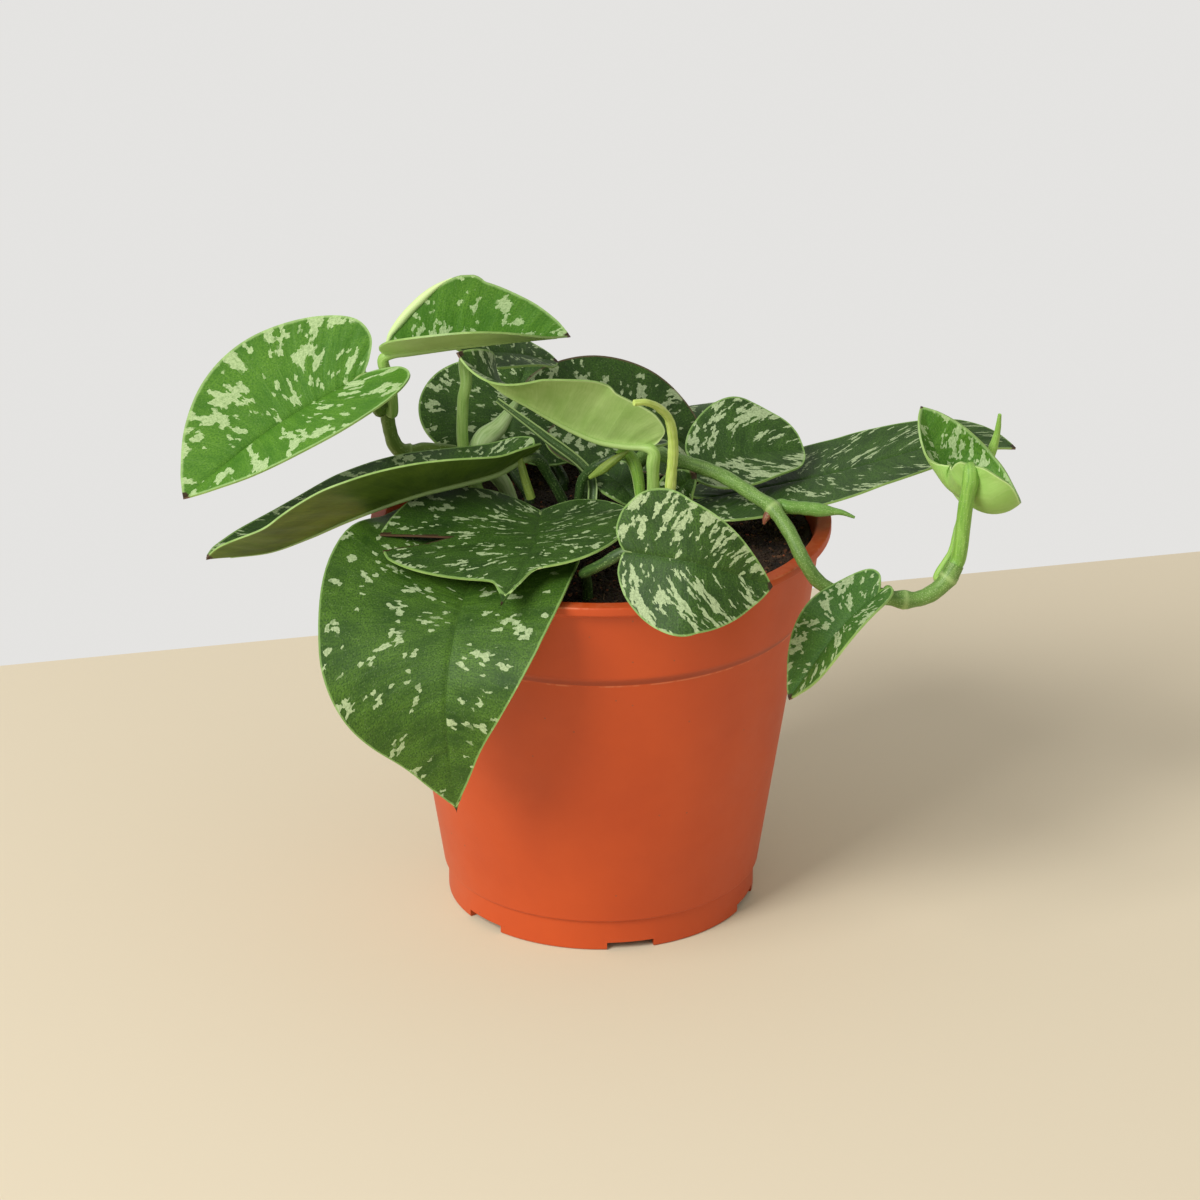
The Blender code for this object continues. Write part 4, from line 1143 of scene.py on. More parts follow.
    def mark(self, mesh: bpy.types.Mesh, points: np.ndarray) -> None:
        """Keep on each vertex where it lies along its vein, how far the margin is, and how brown it is."""
        steps = np.linalg.norm(np.diff(points, axis=1), axis=2)
        right = np.cumsum(steps[:, BLADE_COLS:], axis=1)
        left = np.cumsum(steps[:, :BLADE_COLS][:, ::-1], axis=1)[:, ::-1]
        along = np.concatenate([-left, np.zeros((len(points), 1)), right], axis=1)
        across = []
        for edge in (0, BLADE_COLS, -1):
            line = points[:, edge]
            across.append(np.concatenate([[0], np.cumsum(np.linalg.norm(np.diff(line, axis=0), axis=1))]))
        outer = np.where(along < 0, across[0][:, None], across[2][:, None])
        ahead = (across[1][:, None] + outer) / 2
        vein = np.stack([along, ahead, np.zeros_like(along)], axis=-1).reshape(-1, 3)
        set_floats(mesh, "vein_mm", vein)
        border = np.vstack([points[:, 0], points[::-1, -1]])
        places = points.reshape(-1, 3)
        gap = np.array([self.distance_to(border, place) for place in places])
        set_floats(mesh, "rim_mm", gap)
        tip = np.linalg.norm(places - points[-1, BLADE_COLS], axis=1)
        set_floats(mesh, "brown", np.exp(-((tip / max(self.browned, MERGE)) ** 2)) * (self.browned > 0))

    @staticmethod
    def distance_to(line: np.ndarray, place: np.ndarray) -> float:
        """Distance from a place to a line of points."""
        first, last = line[:-1], line[1:]
        run = last - first
        share = ((place - first) * run).sum(1) / np.maximum((run * run).sum(1), 1e-12)
        nearest = first + np.clip(share, 0, 1)[:, None] * run
        return float(np.sqrt(((nearest - place) ** 2).sum(1).min()))

    def cut_tear(self, work: bmesh.types.BMesh) -> None:
        """Cut the torn wedge out of the open sheet, and mark its edges as brown."""
        inner, upper, lower = (np.array([x, y, 0.0]) for x, y in self.tear)
        sides = []
        for start, end, other in ((inner, upper, lower), (inner, lower, upper)):
            run = unit(end - start)
            normal = np.array([-run[1], run[0], 0.0])
            if (other - start) @ normal < 0:
                normal = -normal
            sides.append((start, normal))
            geometry = work.verts[:] + work.edges[:] + work.faces[:]
            bmesh.ops.bisect_plane(work, geom=geometry, plane_co=start * MM, plane_no=normal, dist=MERGE)
        inside = []
        for face in work.faces:
            place = np.array(face.calc_center_median()) / MM
            if all((place - start) @ normal > 0 for start, normal in sides):
                inside.append(face)
        bmesh.ops.delete(work, geom=inside, context="FACES")
        brown = work.verts.layers.float["brown"]
        for vert in work.verts:
            place = np.array(vert.co) / MM
            depth = [(place - start) @ normal for start, normal in sides]
            if min(depth) > -0.6 and max(depth) < 60 and place[0] < inner[0] + 0.5 and min(depth) < 0.3:
                vert[brown] = max(vert[brown], 0.75)

    def spine_and_stalk(self) -> tuple[np.ndarray, np.ndarray]:
        """Points from the stalk's root over the joint to the end of the midrib, with a radius for each."""
        share = np.linspace(0, RIB_REACH, 9)
        centre, _, normal = self.frame_at(share)
        rib_radii = np.linspace(RIB_RADIUS, RIB_TIP_RADIUS, len(centre))
        rib = centre - normal * (rib_radii[:, None] - RIB_BITE)
        if not self.stalk:
            return resampled(rib, 60), along_rows(rib_radii[:, None], np.linspace(0, 1, 61))[:, 0]
        route = np.vstack([rib[:1], self.stalk])
        root = rooted(route, self.seat)
        control = np.vstack([root[::-1], rib[1:]])
        line = resampled(control, 150)
        along = np.concatenate([[0], np.cumsum(np.linalg.norm(np.diff(line, axis=0), axis=1))])
        joint = along[np.argmin(np.linalg.norm(line - rib[0], axis=1))]
        past = np.clip((along - joint) / (along[-1] - joint), 0, 1)
        rib_radius = RIB_RADIUS + (RIB_TIP_RADIUS - RIB_RADIUS) * past
        before = smooth_step(-3.0, 1.0, joint - along)
        swell = 0.12 * np.exp(-(((joint - along - 3.0) / 2.0) ** 2))
        radii = rib_radius + (self.stalk_radius * (1 + swell) - rib_radius) * before
        return line, radii

    def build(self, look: LeafLook, under: UndersideLook, stalk_look: StemLook) -> bpy.types.Object:
        """The whole leaf as one piece: blade, midrib, stalk and any rolled margin."""
        blade = self.build_blade(look, under)
        line, radii = self.spine_and_stalk()
        stalk_material = stalk_look.material(self.name + "_stalk")
        ribbed = np.clip((self.stalk_radius - radii) / (self.stalk_radius - RIB_RADIUS), 0, 1)
        parts = [swept(self.name + "_stalk", line, radii, stalk_material, ring=ribbed)]
        if self.rolled:
            parts.append(self.build_roll(blade.data.materials[1]))
        join(blade, parts)
        return blade

    def build_roll(self, material: bpy.types.Material) -> bpy.types.Object:
        """The rolled stretch of the margin, as a tube that tapers at both ends."""
        half, start, end, radius = self.rolled
        points = self.sheet(BLADE_ROWS, np.array([-1.0, 0.0, 1.0]))
        edge = points[round(start * BLADE_ROWS) : round(end * BLADE_ROWS) + 1, 2 if half else 0]
        middle = resampled(edge, 40)
        share = np.linspace(0, 1, len(middle))
        radii = radius * np.clip(np.sin(math.pi * share), 0.15, 0.9) / 0.9
        return swept(self.name + "_roll", middle, radii, material)


def rooted(route: np.ndarray, seat: str) -> np.ndarray:
    """A route whose end runs a little way into the stem that carries it.

    Args:
        route: The stalk's points, root last.
        seat: The stem's name, or nothing where the stalk stands in the soil.

    Returns:
        The route's points.
    """
    route = np.asarray(route, float)
    if not seat:
        return route
    stem = next(stem for stem in STEMS if stem.name == seat)
    middle = resampled(stem.route, 200)
    reach = along_rows(np.array(stem.radii)[:, None], np.linspace(0, 1, len(middle)))[:, 0]
    nearest = int(np.argmin(np.linalg.norm(middle - route[-1], axis=1)))
    away = unit(middle[0] - middle[1]) if nearest == 0 else unit(route[-1] - middle[nearest])
    depth = -SEAT_SINK if nearest == 0 else reach[nearest] - SEAT_SINK
    return np.vstack([route[:-1], middle[nearest] + away * (depth + 2.0), middle[nearest] + away * depth])


@dataclass
class Stem:
    """A stem, shoot, sheath or strap along a route.

    route: points that its middle passes through.
    radii: its radius, in even steps along the route.
    seat: the stem that carries its last end, where it doesn't stand in the soil.
    """

    name: str
    route: tuple
    radii: tuple
    seat: str = ""
    steps: int = 14

    def build(self, look: StemLook, section: Section, rings: tuple = ()) -> bpy.types.Object:
        """The stem as one piece.

        Args:
            look: Its finish.
            section: Its shape across the route.
            rings: Points where leaves grew, each with the height of the ring there.

        Returns:
            The piece.
        """
        middle = resampled(rooted(np.asarray(self.route, float), self.seat), 140)
        radii = along_rows(np.array(self.radii)[:, None], np.linspace(0, 1, len(middle)))[:, 0]
        material = look.material(self.name)
        if section is Section.ROUND:
            return self.build_round(middle, radii, material, rings)
        return self.build_sheet(middle, radii, material, section)

    def build_round(
        self, middle: np.ndarray, radii: np.ndarray, material: bpy.types.Material, rings: tuple
    ) -> bpy.types.Object:
        """A round stem, swollen at its rings and uneven along its length."""
        along = np.concatenate([[0], np.cumsum(np.linalg.norm(np.diff(middle, axis=0), axis=1))])
        ring = np.zeros(len(middle))
        radii = radii * (1 + 0.03 * np.sin(along * 0.9) + 0.02 * np.sin(along * 2.3))
        for place, height in rings:
            at = along[np.argmin(np.linalg.norm(middle - np.array(place), axis=1))]
            radii = radii + height * np.exp(-(((along - at) / 1.3) ** 2))
            ring = np.maximum(ring, np.exp(-(((along - at) / 0.5) ** 2)))
        return swept(PIECE_PREFIX + self.name, middle, radii, material, sides=20, ring=ring)

    def build_sheet(
        self, middle: np.ndarray, radii: np.ndarray, material: bpy.types.Material, section: Section
    ) -> bpy.types.Object:
        """A thin blade that is bent or rolled up round its route."""
        cols = 28
        tangent = unit(np.gradient(middle, axis=0))
        up = unit(np.array([0.0, -0.6, 0.8]) - (tangent @ np.array([0.0, -0.6, 0.8]))[:, None] * tangent)
        side = np.cross(tangent, up)
        spread = np.linspace(-1, 1, cols + 1)
        if section is Section.CHANNEL:
            angle = spread * math.radians(105)
            grow = np.ones(cols + 1)
        else:
            angle = math.radians(200) + spread * math.radians(235)
            grow = 1.04 + 0.14 * spread
        outward = -np.cos(angle)[None, :, None] * up[:, None] + np.sin(angle)[None, :, None] * side[:, None]
        points = middle[:, None] + outward * (radii[:, None] * grow[None, :])[..., None]
        mesh = bpy.data.meshes.new(PIECE_PREFIX + self.name)
        mesh.from_pydata(points.reshape(-1, 3) * MM, [], grid_faces(len(middle) - 1, cols))
        along = np.linspace(0, 1, len(middle))[:, None] * np.linalg.norm(middle[0] - middle[-1])
        set_floats(mesh, "along", np.broadcast_to(along, points.shape[:2]).ravel())
        turn = np.stack([np.cos(angle), np.sin(angle), np.zeros_like(angle)], axis=-1)
        set_floats(mesh, "around", np.broadcast_to(turn[None], points.shape).reshape(-1, 3))
        ring = smooth_step(0.90, 1.0, np.abs(spread))
        set_floats(mesh, "ring", np.broadcast_to(ring[None], points.shape[:2]).ravel())
        mesh.shade_smooth()
        mesh.materials.append(material)
        piece = place_in_scene(PIECE_PREFIX + self.name, mesh)
        wall = piece.modifiers.new("thickness", "SOLIDIFY")
        wall.thickness = 0.35 * MM
        wall.offset = 0.0
        apply_modifiers(piece)
        piece.data.set_sharp_from_angle(angle=math.radians(60))
        return piece


@dataclass
class NurseryPot:
    """The pot: lip, rim band, tapering body, a foot ring with notches, and a floor with drain holes.

    fillet: radius that its edges are rounded with.
    """

    fillet: float = 0.35

    def profile(self) -> list[tuple[float, float]]:
        """Radius and height of each corner of the wall, from the floor's middle inside to its middle below."""
        floor_top = FLOOR_Z + FLOOR_THICKNESS
        foot_inside = FOOT_RING_RADIUS - FOOT_RING_WALL
        return [
            (0.0, floor_top),
            (inner_radius(FOOT_RING_HEIGHT), floor_top),
            (inner_radius(FOOT_RING_HEIGHT), FOOT_RING_HEIGHT),
            (inner_radius(BAND_FOOT_Z - WALL), BAND_FOOT_Z - WALL),
            (inner_radius(BAND_FOOT_Z + WALL), BAND_FOOT_Z + WALL),
            (inner_radius(POT_HEIGHT - LIP_THICKNESS), POT_HEIGHT - LIP_THICKNESS),
            (BAND_TOP_RADIUS - WALL + 0.4, POT_HEIGHT),
            (LIP_RADIUS, POT_HEIGHT),
            (LIP_RADIUS, POT_HEIGHT - LIP_DROP),
            (BAND_TOP_RADIUS, POT_HEIGHT - LIP_DROP - 1.2),
            (BAND_FOOT_RADIUS, BAND_FOOT_Z + BAND_CHAMFER),
            (BAND_FOOT_RADIUS - BAND_STEP, BAND_FOOT_Z - 0.6),
            (BODY_FOOT_RADIUS, FOOT_RING_HEIGHT),
            (FOOT_RING_RADIUS, FOOT_RING_HEIGHT - 0.5),
            (FOOT_RING_RADIUS, 0.0),
            (foot_inside, 0.0),
            (foot_inside, FLOOR_Z),
            (CENTRE_FOOT_RADIUS, FLOOR_Z),
            (CENTRE_FOOT_RADIUS, 0.0),
            (0.0, 0.0),
        ]

    def rounded(self, corners: list[tuple[float, float]], steps: int = 4) -> list[tuple[float, float]]:
        """The profile with each inner corner replaced by a short arc."""
        points = [corners[0]]
        for before, corner, after in zip(corners, corners[1:], corners[2:]):
            a, b, c = (np.array(point) for point in (before, corner, after))
            reach = min(self.fillet, 0.45 * np.linalg.norm(a - b), 0.45 * np.linalg.norm(c - b))
            start = b + unit(a - b) * reach
            end = b + unit(c - b) * reach
            for share in np.linspace(0, 1, steps):
                arc = (1 - share) ** 2 * start + 2 * share * (1 - share) * b + share**2 * end
                points.append((float(arc[0]), float(arc[1])))
        points.append(corners[-1])
        return points

    def build(self, look: PlasticLook) -> bpy.types.Object:
        """The pot as one piece."""
        pot = turned("nursery_pot", self.rounded(self.profile()), POT_SIDES)
        tools = []
        for step in range(NOTCH_COUNT):
            angle = math.radians(NOTCH_FIRST_DEG - 90 + step * 360 / NOTCH_COUNT)
            bpy.ops.mesh.primitive_cube_add(size=MM, rotation=(0, 0, angle))
            notch = bpy.context.object
            reach = FOOT_RING_RADIUS * MM
            notch.location = (reach * math.cos(angle), reach * math.sin(angle), 0)
            notch.scale = (3 * FOOT_RING_WALL, NOTCH_WIDTH, 2 * NOTCH_HEIGHT)
            tools.append(notch)
        for step in range(DRAIN_COUNT):
            angle = 2 * math.pi * (step + 0.5) / DRAIN_COUNT
            reach = DRAIN_RING_RADIUS * MM
            bpy.ops.mesh.primitive_cylinder_add(
                vertices=32,
                radius=DRAIN_RADIUS * MM,
                depth=4 * FLOOR_THICKNESS * MM,
                location=(reach * math.cos(angle), reach * math.sin(angle), (FLOOR_Z + FLOOR_THICKNESS) * MM),
            )
            tools.append(bpy.context.object)
        for tool in tools:
            cut = pot.modifiers.new(tool.name, "BOOLEAN")
            cut.operation = "DIFFERENCE"
            cut.object = tool
        apply_modifiers(pot)
        for tool in tools:
            bpy.data.objects.remove(tool)
        pot.data.materials.clear()
        pot.data.materials.append(look.material("pot_plastic"))
        pot.data.shade_smooth()
        pot.data.set_sharp_from_angle(angle=math.radians(38))
        return pot


def inner_radius(height: float) -> float:
    """The radius of the pot's inner wall at a height."""
    if height > BAND_FOOT_Z:
        rise = (height - BAND_FOOT_Z) / (POT_HEIGHT - BAND_FOOT_Z)
        return BAND_FOOT_RADIUS + (BAND_TOP_RADIUS - BAND_FOOT_RADIUS) * rise - WALL
    rise = (height - FOOT_RING_HEIGHT) / (BAND_FOOT_Z - FOOT_RING_HEIGHT)
    return BODY_FOOT_RADIUS + (BAND_FOOT_RADIUS - BAND_STEP - BODY_FOOT_RADIUS) * rise - WALL


def turned(name: str, profile: list[tuple[float, float]], sides: int) -> bpy.types.Object:
    """A closed solid turned about the Z axis from a profile of radius and height."""
    mesh = bpy.data.meshes.new(name)
    mesh.from_pydata(
        [(radius * MM, 0.0, height * MM) for radius, height in profile],
        [(start, start + 1) for start in range(len(profile) - 1)],
        [],
    )
    piece = place_in_scene(name, mesh)
    turn = piece.modifiers.new("turn", "SCREW")
    turn.axis = "Z"
    turn.angle = 2 * math.pi
    turn.steps = sides
    turn.render_steps = sides
    turn.use_merge_vertices = True
    turn.merge_threshold = 1e-5
    apply_modifiers(piece)
    return piece


@dataclass
class PottingSoil:
    """The plug of soil in the pot.

    rings, sides: steps of its top, from the middle out and round.
    clod: height of its small clods.
    """

    rings: int = 90
    sides: int = 220
    clod: float = 0.9

    def lump_height(self, places: np.ndarray) -> np.ndarray:
        """How far the top rises or sinks at each place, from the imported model's own seeded lumps."""
        draw = np.random.default_rng(SEED)
        lumps = draw.uniform(-BAND_TOP_RADIUS, BAND_TOP_RADIUS, (SOIL_LUMP_COUNT, 2))
        heights = draw.uniform(-SOIL_LUMP, SOIL_LUMP, SOIL_LUMP_COUNT)
        spread = ((places[:, None, :2] - lumps[None]) ** 2).sum(-1)
        return (heights * np.exp(-spread / (2 * SOIL_LUMP_SPREAD**2))).sum(-1)

    def build_top(self, edge: float) -> tuple[np.ndarray, np.ndarray]:
        """Points of the clodded top, ring by ring from the middle out, and how deep each ring is buried."""
        radius = np.linspace(0, edge, self.rings + 1)[1:, None]
        angle = np.linspace(0, 2 * math.pi, self.sides, endpoint=False)[None, :]
        flat = np.stack([radius * np.cos(angle), radius * np.sin(angle), np.zeros_like(radius * angle)], -1)
        places = flat.reshape(-1, 3)
        height = self.lump_height(places)
        height += self.clod * 0.9 * rough_noise(places, 3.2, 1)
        height += self.clod * 0.6 * rough_noise(places, 1.4, 2)
        height += self.clod * 0.3 * rough_noise(places, 0.7, 3)
        places[:, 2] = SOIL_TOP_Z - 0.3 + height
        return places, radius

    def build(self, look: EarthLook) -> bpy.types.Object:
        """The plug with its top of clods and crumbs, as one piece."""
        edge = inner_radius(SOIL_TOP_Z) - SOIL_GAP
        top, _ = self.build_top(edge)
        low = FLOOR_Z + FLOOR_THICKNESS + SOIL_GAP
        walls = [
            (inner_radius(BAND_FOOT_Z + 2 * WALL) - SOIL_GAP, BAND_FOOT_Z + 2 * WALL),
            (inner_radius(BAND_FOOT_Z - 2 * WALL) - SOIL_GAP, BAND_FOOT_Z - 2 * WALL),
            (inner_radius(FOOT_RING_HEIGHT) - SOIL_GAP, FOOT_RING_HEIGHT),
            (inner_radius(FOOT_RING_HEIGHT) - SOIL_GAP, low),
        ]
        angle = np.linspace(0, 2 * math.pi, self.sides, endpoint=False)
        rows = [top]
        for radius, height in walls:
            rows.append(np.column_stack([radius * np.cos(angle), radius * np.sin(angle), np.full(self.sides, height)]))
        points = np.vstack(rows)
        steps = self.rings - 1 + len(walls)
        faces = grid_faces(steps, self.sides, closed=True)
        middle = len(points)
        points = np.vstack([points, [0, 0, top[: self.sides, 2].mean()], [0, 0, low]])
        last = steps * self.sides
        for col in range(self.sides):
            following = (col + 1) % self.sides
            faces.append((middle, following, col))
            faces.append((middle + 1, last + col, last + following))
        mesh = bpy.data.meshes.new("soil_plug")
        mesh.from_pydata(points * MM, [], faces)
        work = bmesh.new()
        work.from_mesh(mesh)
        bmesh.ops.recalc_face_normals(work, faces=work.faces)
        work.to_mesh(mesh)
        work.free()
        mesh.shade_smooth()
        mesh.materials.append(look.material("soil_earth"))
        soil = place_in_scene("potting_soil", mesh)
        join(soil, self.build_bits(top, edge))
        return soil

    def build_bits(self, top: np.ndarray, edge: float) -> list[bpy.types.Object]:
        """Crumbs, bark chips and fibres that lie on the top."""
        kinds = (
            ("crumbs", 0.9, (0.25, 0.25, 0.2), (0.75, 0.7, 0.5), EarthLook(), 1),
            ("chips", 4.2, (0.8, 0.35, 0.2), (1.9, 0.8, 0.4), EarthLook(tint(60, 40, 26), tint(104, 72, 46)), 2),
            ("clay", 5.5, (0.3, 0.3, 0.25), (0.7, 0.6, 0.5), EarthLook(tint(120, 62, 38), tint(160, 92, 60)), 3),
            ("fibres", 6.0, (1.5, 0.07, 0.07), (3.4, 0.12, 0.12), EarthLook(tint(96, 74, 50), tint(140, 112, 80)), 4),
        )
        inner = [place for place in top if np.hypot(place[0], place[1]) < edge - 1.2]
        count = len(inner) // self.sides
        pieces = []
        for name, spacing, least, most, look, seed in kinds:
            mesh = bpy.data.meshes.new("soil_" + name)
            points = top[: count * self.sides]
            mesh.from_pydata(points * MM, [], grid_faces(count - 1, self.sides, closed=True))
            piece = place_in_scene("soil_" + name, mesh)
            values = {
                "Spacing": spacing * MM,
                "Density": 4e6 / spacing**2,
                "Least": least,
                "Most": most,
                "Seed": SEED + seed,
                "Material": look.material("soil_" + name),
            }
            run_tree(piece, SHAPES.scatter, values)
            pieces.append(piece)
        return pieces


LEAVES = (
    Leaf(
        "leaf_upper_left",
        midrib=((-54, 2, 127.6), (-75, -8, 118), (-94, -20, 106)),
        face=((-0.1, -0.55, 0.85),),
        half=(17.5, 20),
        fold=((24, 28),),
        stalk=((-52.5, 3, 123), (-51, 6, 117)),
        seat="vine_left",
        lobe=(0.9, 1.0),
        broad=(-0.08, 0.0),
    ),
    Leaf(
        "leaf_top",
        midrib=((-49, 2, 132.5), (-28, 2, 135), (-7, 4, 136)),
        face=((0.0, -0.41, 0.91),),
        half=(15.5, 17),
        fold=((60, 60), (50, 45)),
        lobe=(-1.2, -0.3),
        stalk=((-49.5, 3, 129.5), (-48, 4, 125), (-47, 5, 117)),
        seat="vine_left",
        rolled=(0, 0.0, 0.45, 1.0),
    ),
    Leaf(
        "leaf_back_top",
        midrib=((-31, 14, 128), (-21, 20, 126), (-10, 27, 121)),
        face=((0.0, -0.3, 0.95),),
        half=(9, 9),
        stalk=((-31, 11, 122), (-31.8, 10, 117), (-31.5, 9, 105), (-27, 6, 94), (-25, 4, 89), (-25, 4, 79)),
        stalk_radius=1.35,
    ),
    Leaf(
        "leaf_back_left",
        midrib=((-22, 29, 97.5), (-20.5, 39, 106), (-17, 49, 114.3)),
        face=((-0.1, -0.8, 0.6),),
        half=(22, 22),
        stalk=((-20, 25, 93.5), (-17, 21, 90), (-17, 19, 87), (-17, 19, 79)),
        fold=((12, 4),),
    ),
    Leaf(
        "leaf_left",
        midrib=((-16, -3, 110), (-25, -6, 106.5), (-42, -12, 104), (-56, -16, 100), (-74, -20, 93.5), (-89, -24, 93)),
        face=((0, 0.4, 0.9), (0, 0.6, 0.8)),
        half=(18, 18),
        fold=((13, 31), (19, 51)),
        lobe=(0.4, 0.4),
        stalk=((-12, -1, 104), (-8, 1, 95), (-7, 1, 90), (-7, 1, 79)),
        broad=(0.1, 0.1),
    ),
    Leaf(
        "leaf_centre",
        midrib=((11.5, -16, 117), (0, -15, 118.2), (-8, -15, 121.8), (-15, -16, 126.4), (-23, -18, 132), (-32, -20, 141)),
        face=((0, 0.7, 0.7), (0, 0.7, 0.7), (0.1, 0.5, 0.8), (0.66, -0.59, 0.47)),
        half=(15, 15.5),
        fold=((35, 35), (22, 28), (15, 25), (28, 28)),
        lobe=(0.1, 0.3),
        stalk=((11.7, -16.5, 112), (11.8, -15, 100), (11.8, -14, 90), (11.8, -14, 79)),
        stalk_radius=1.4,
    ),
    Leaf(
        "leaf_front_left",
        midrib=((-22, -20, 94.8), (-28.5, -40, 95.3), (-32.5, -58, 88.5), (-34, -66, 74), (-32, -62, 48)),
        face=((-0.1, -0.3, 0.95), (-0.1, -1.0, 0.5), (-0.1, -1.0, 0.1)),
        half=(22.5, 31.5),
        fold=((8, 7), (8, 0)),
        stalk=((-19, -18, 92.8), (-16, -17, 90), (-15, -16, 87), (-15, -16, 79)),
        stalk_radius=1.4,
        broad=(-0.10, 0.02),
        lobe=(0.5, 2.45),
        drip=0.15,
    ),
    Leaf(
        "leaf_front_middle",
        midrib=((-13.6, -12, 99.5), (-15.5, -38, 101), (-21.9, -61, 97.6)),
        face=((0.0, -0.1, 1.0),),
        half=(23, 35),
        fold=((3, 5), (14, -3), (26, 0)),
        broad=(0.02, 0.22),
        stalk=((-11, -8, 97), (-8, -6, 92), (-7.5, -6, 88), (-7.5, -6, 79)),
        tear=((-33, -30.3), (-56, -27.2), (-56, -41)),
        lobe=(1.6, 3.0),
        drip=0.58,
    ),
    Leaf(
        "leaf_front_right",
        midrib=((5, -54, 107.5), (21, -60, 107), (37.5, -56, 100)),
        face=((0.0, -0.9, 0.4),),
        half=(15, 16.5),
        fold=((10, 10),),
        lobe=(-0.7, -0.5),
        stalk=((0.5, -51.5, 103.5), (-3.5, -46, 99), (-3.5, -39, 95.5), (-3, -36, 90), (-3, -36, 79)),
        broad=(-0.2, 0.0),
    ),
    Leaf(
        "leaf_back_middle",
        midrib=((-10, 26, 106.5), (9, 33, 103.5), (27, 38, 92)),
        face=((0.0, -0.6, 0.8),),
        half=(16, 17),
        stalk=((-7, 23, 102), (-3, 20, 94), (-3, 19, 90), (-3, 19, 79)),
        broad=(-0.1, 0.0),
    ),
    Leaf(
        "leaf_right_round",
        midrib=((21, 6, 104), (35, 9, 105.5), (46.5, 12.5, 105)),
        face=((0.0, -0.3, 0.95),),
        half=(16.5, 15),
        lobe=(0.3, 0.5),
        stalk=((17.5, 6.5, 102), (15, 8, 97), (14, 9, 90), (14, 9, 79)),
        drip=-0.12,
        browned=0.0,
        broad=(0.12, 0.03),
    ),
    Leaf(
        "leaf_right_long",
        midrib=((24, -2, 98.5), (53, 6, 101.5), (79, 14, 105.8), (89, 16.5, 105.6), (96.5, 18, 103)),
        face=((0.0, 0.1, 1.0),),
        half=(19, 18),
        fold=((2, -2), (2, -2), (16, -10)),
        lobe=(0.3, 0.3),
        stalk=((20, -3, 96), (17, -3, 91), (17, -3, 88), (17, -3, 79)),
        rolled=(1, 0.08, 0.35, 0.7),
        broad=(0.06, -0.1),
    ),
    Leaf(
        "leaf_right_hanging",
        midrib=((62, -38.5, 91), (53, -43.5, 84), (42, -45.5, 68)),
        face=((-0.6, -0.6, 0.4),),
        half=(9, 10.5),
        fold=((32, 5),),
        lobe=(0.4, 0.8),
        stalk=((63.5, -37.5, 90.5), (64, -35, 89.5)),
        seat="vine_right",
        stalk_radius=1.0,
    ),
    Leaf(
        "leaf_vine_end",
        midrib=((82.4, -27, 116.8), (82.1, -25, 110), (81, -17.5, 105.5), (77, -9, 110), (72.6, -5, 122.4)),
        face=((0.15, 0.87, 0.48), (0.2, 0.4, 0.9), (0.15, -0.3, 0.95), (0.15, -0.85, 0.5), (0.15, -0.93, 0.3)),
        half=(9.5, 15.2),
        fold=((10, -58), (15, -38), (25, -8)),
        lobe=(-0.6, 0.0),
        stalk=((82.3, -29, 114), (81.5, -29, 109), (81, -28.8, 103), (80.6, -28.9, 98), (79.8, -29, 95)),
        seat="vine_right",
        stalk_radius=1.7,
        browned=0.5,
        curl=(95, 112),
        wave=(0.0, 2.0, 0.0),
    ),
    Leaf(
        "leaf_small_right",
        midrib=((16, -9, 101), (18.5, -9.5, 105), (21.5, -10, 108)),
        face=((0.0, -0.8, 0.6),),
        half=(4.5, 4.5),
        stalk=((15.5, -9, 97), (14.5, -9, 90), (14.5, -9, 79)),
        stalk_radius=0.9,
    ),
    Leaf(
        "leaf_small_centre",
        midrib=((1, 4, 102.4), (5, 1, 100.4), (9, -2, 96.4)),
        face=((0.0, -0.6, 0.8),),
        half=(5, 5),
        stalk=((-1, 5, 99), (-1, 6, 90), (-1, 6, 79)),
        stalk_radius=0.9,
    ),
    Leaf(
        "leaf_rear_left",
        midrib=((-16, 40, 96.7), (-24, 56, 96.5), (-31, 64, 81)),
        face=((-0.1, 0.5, 0.85), (-0.1, 0.8, 0.5)),
        half=(16, 16),
        fold=((3, 3),),
        stalk=((-13, 37, 94.5), (-9, 32, 90), (-9, 31, 88), (-9, 31, 79)),
    ),
    Leaf(
        "leaf_rear_right",
        midrib=((13, 47, 96.6), (21, 60, 97), (28, 70, 85)),
        face=((0.1, 0.5, 0.85), (0.1, 0.8, 0.5)),
        half=(15, 15),
        fold=((0, 0),),
        stalk=((13, 43, 94.5), (12, 38, 91), (11, 35, 88), (11, 35, 79)),
    ),
)

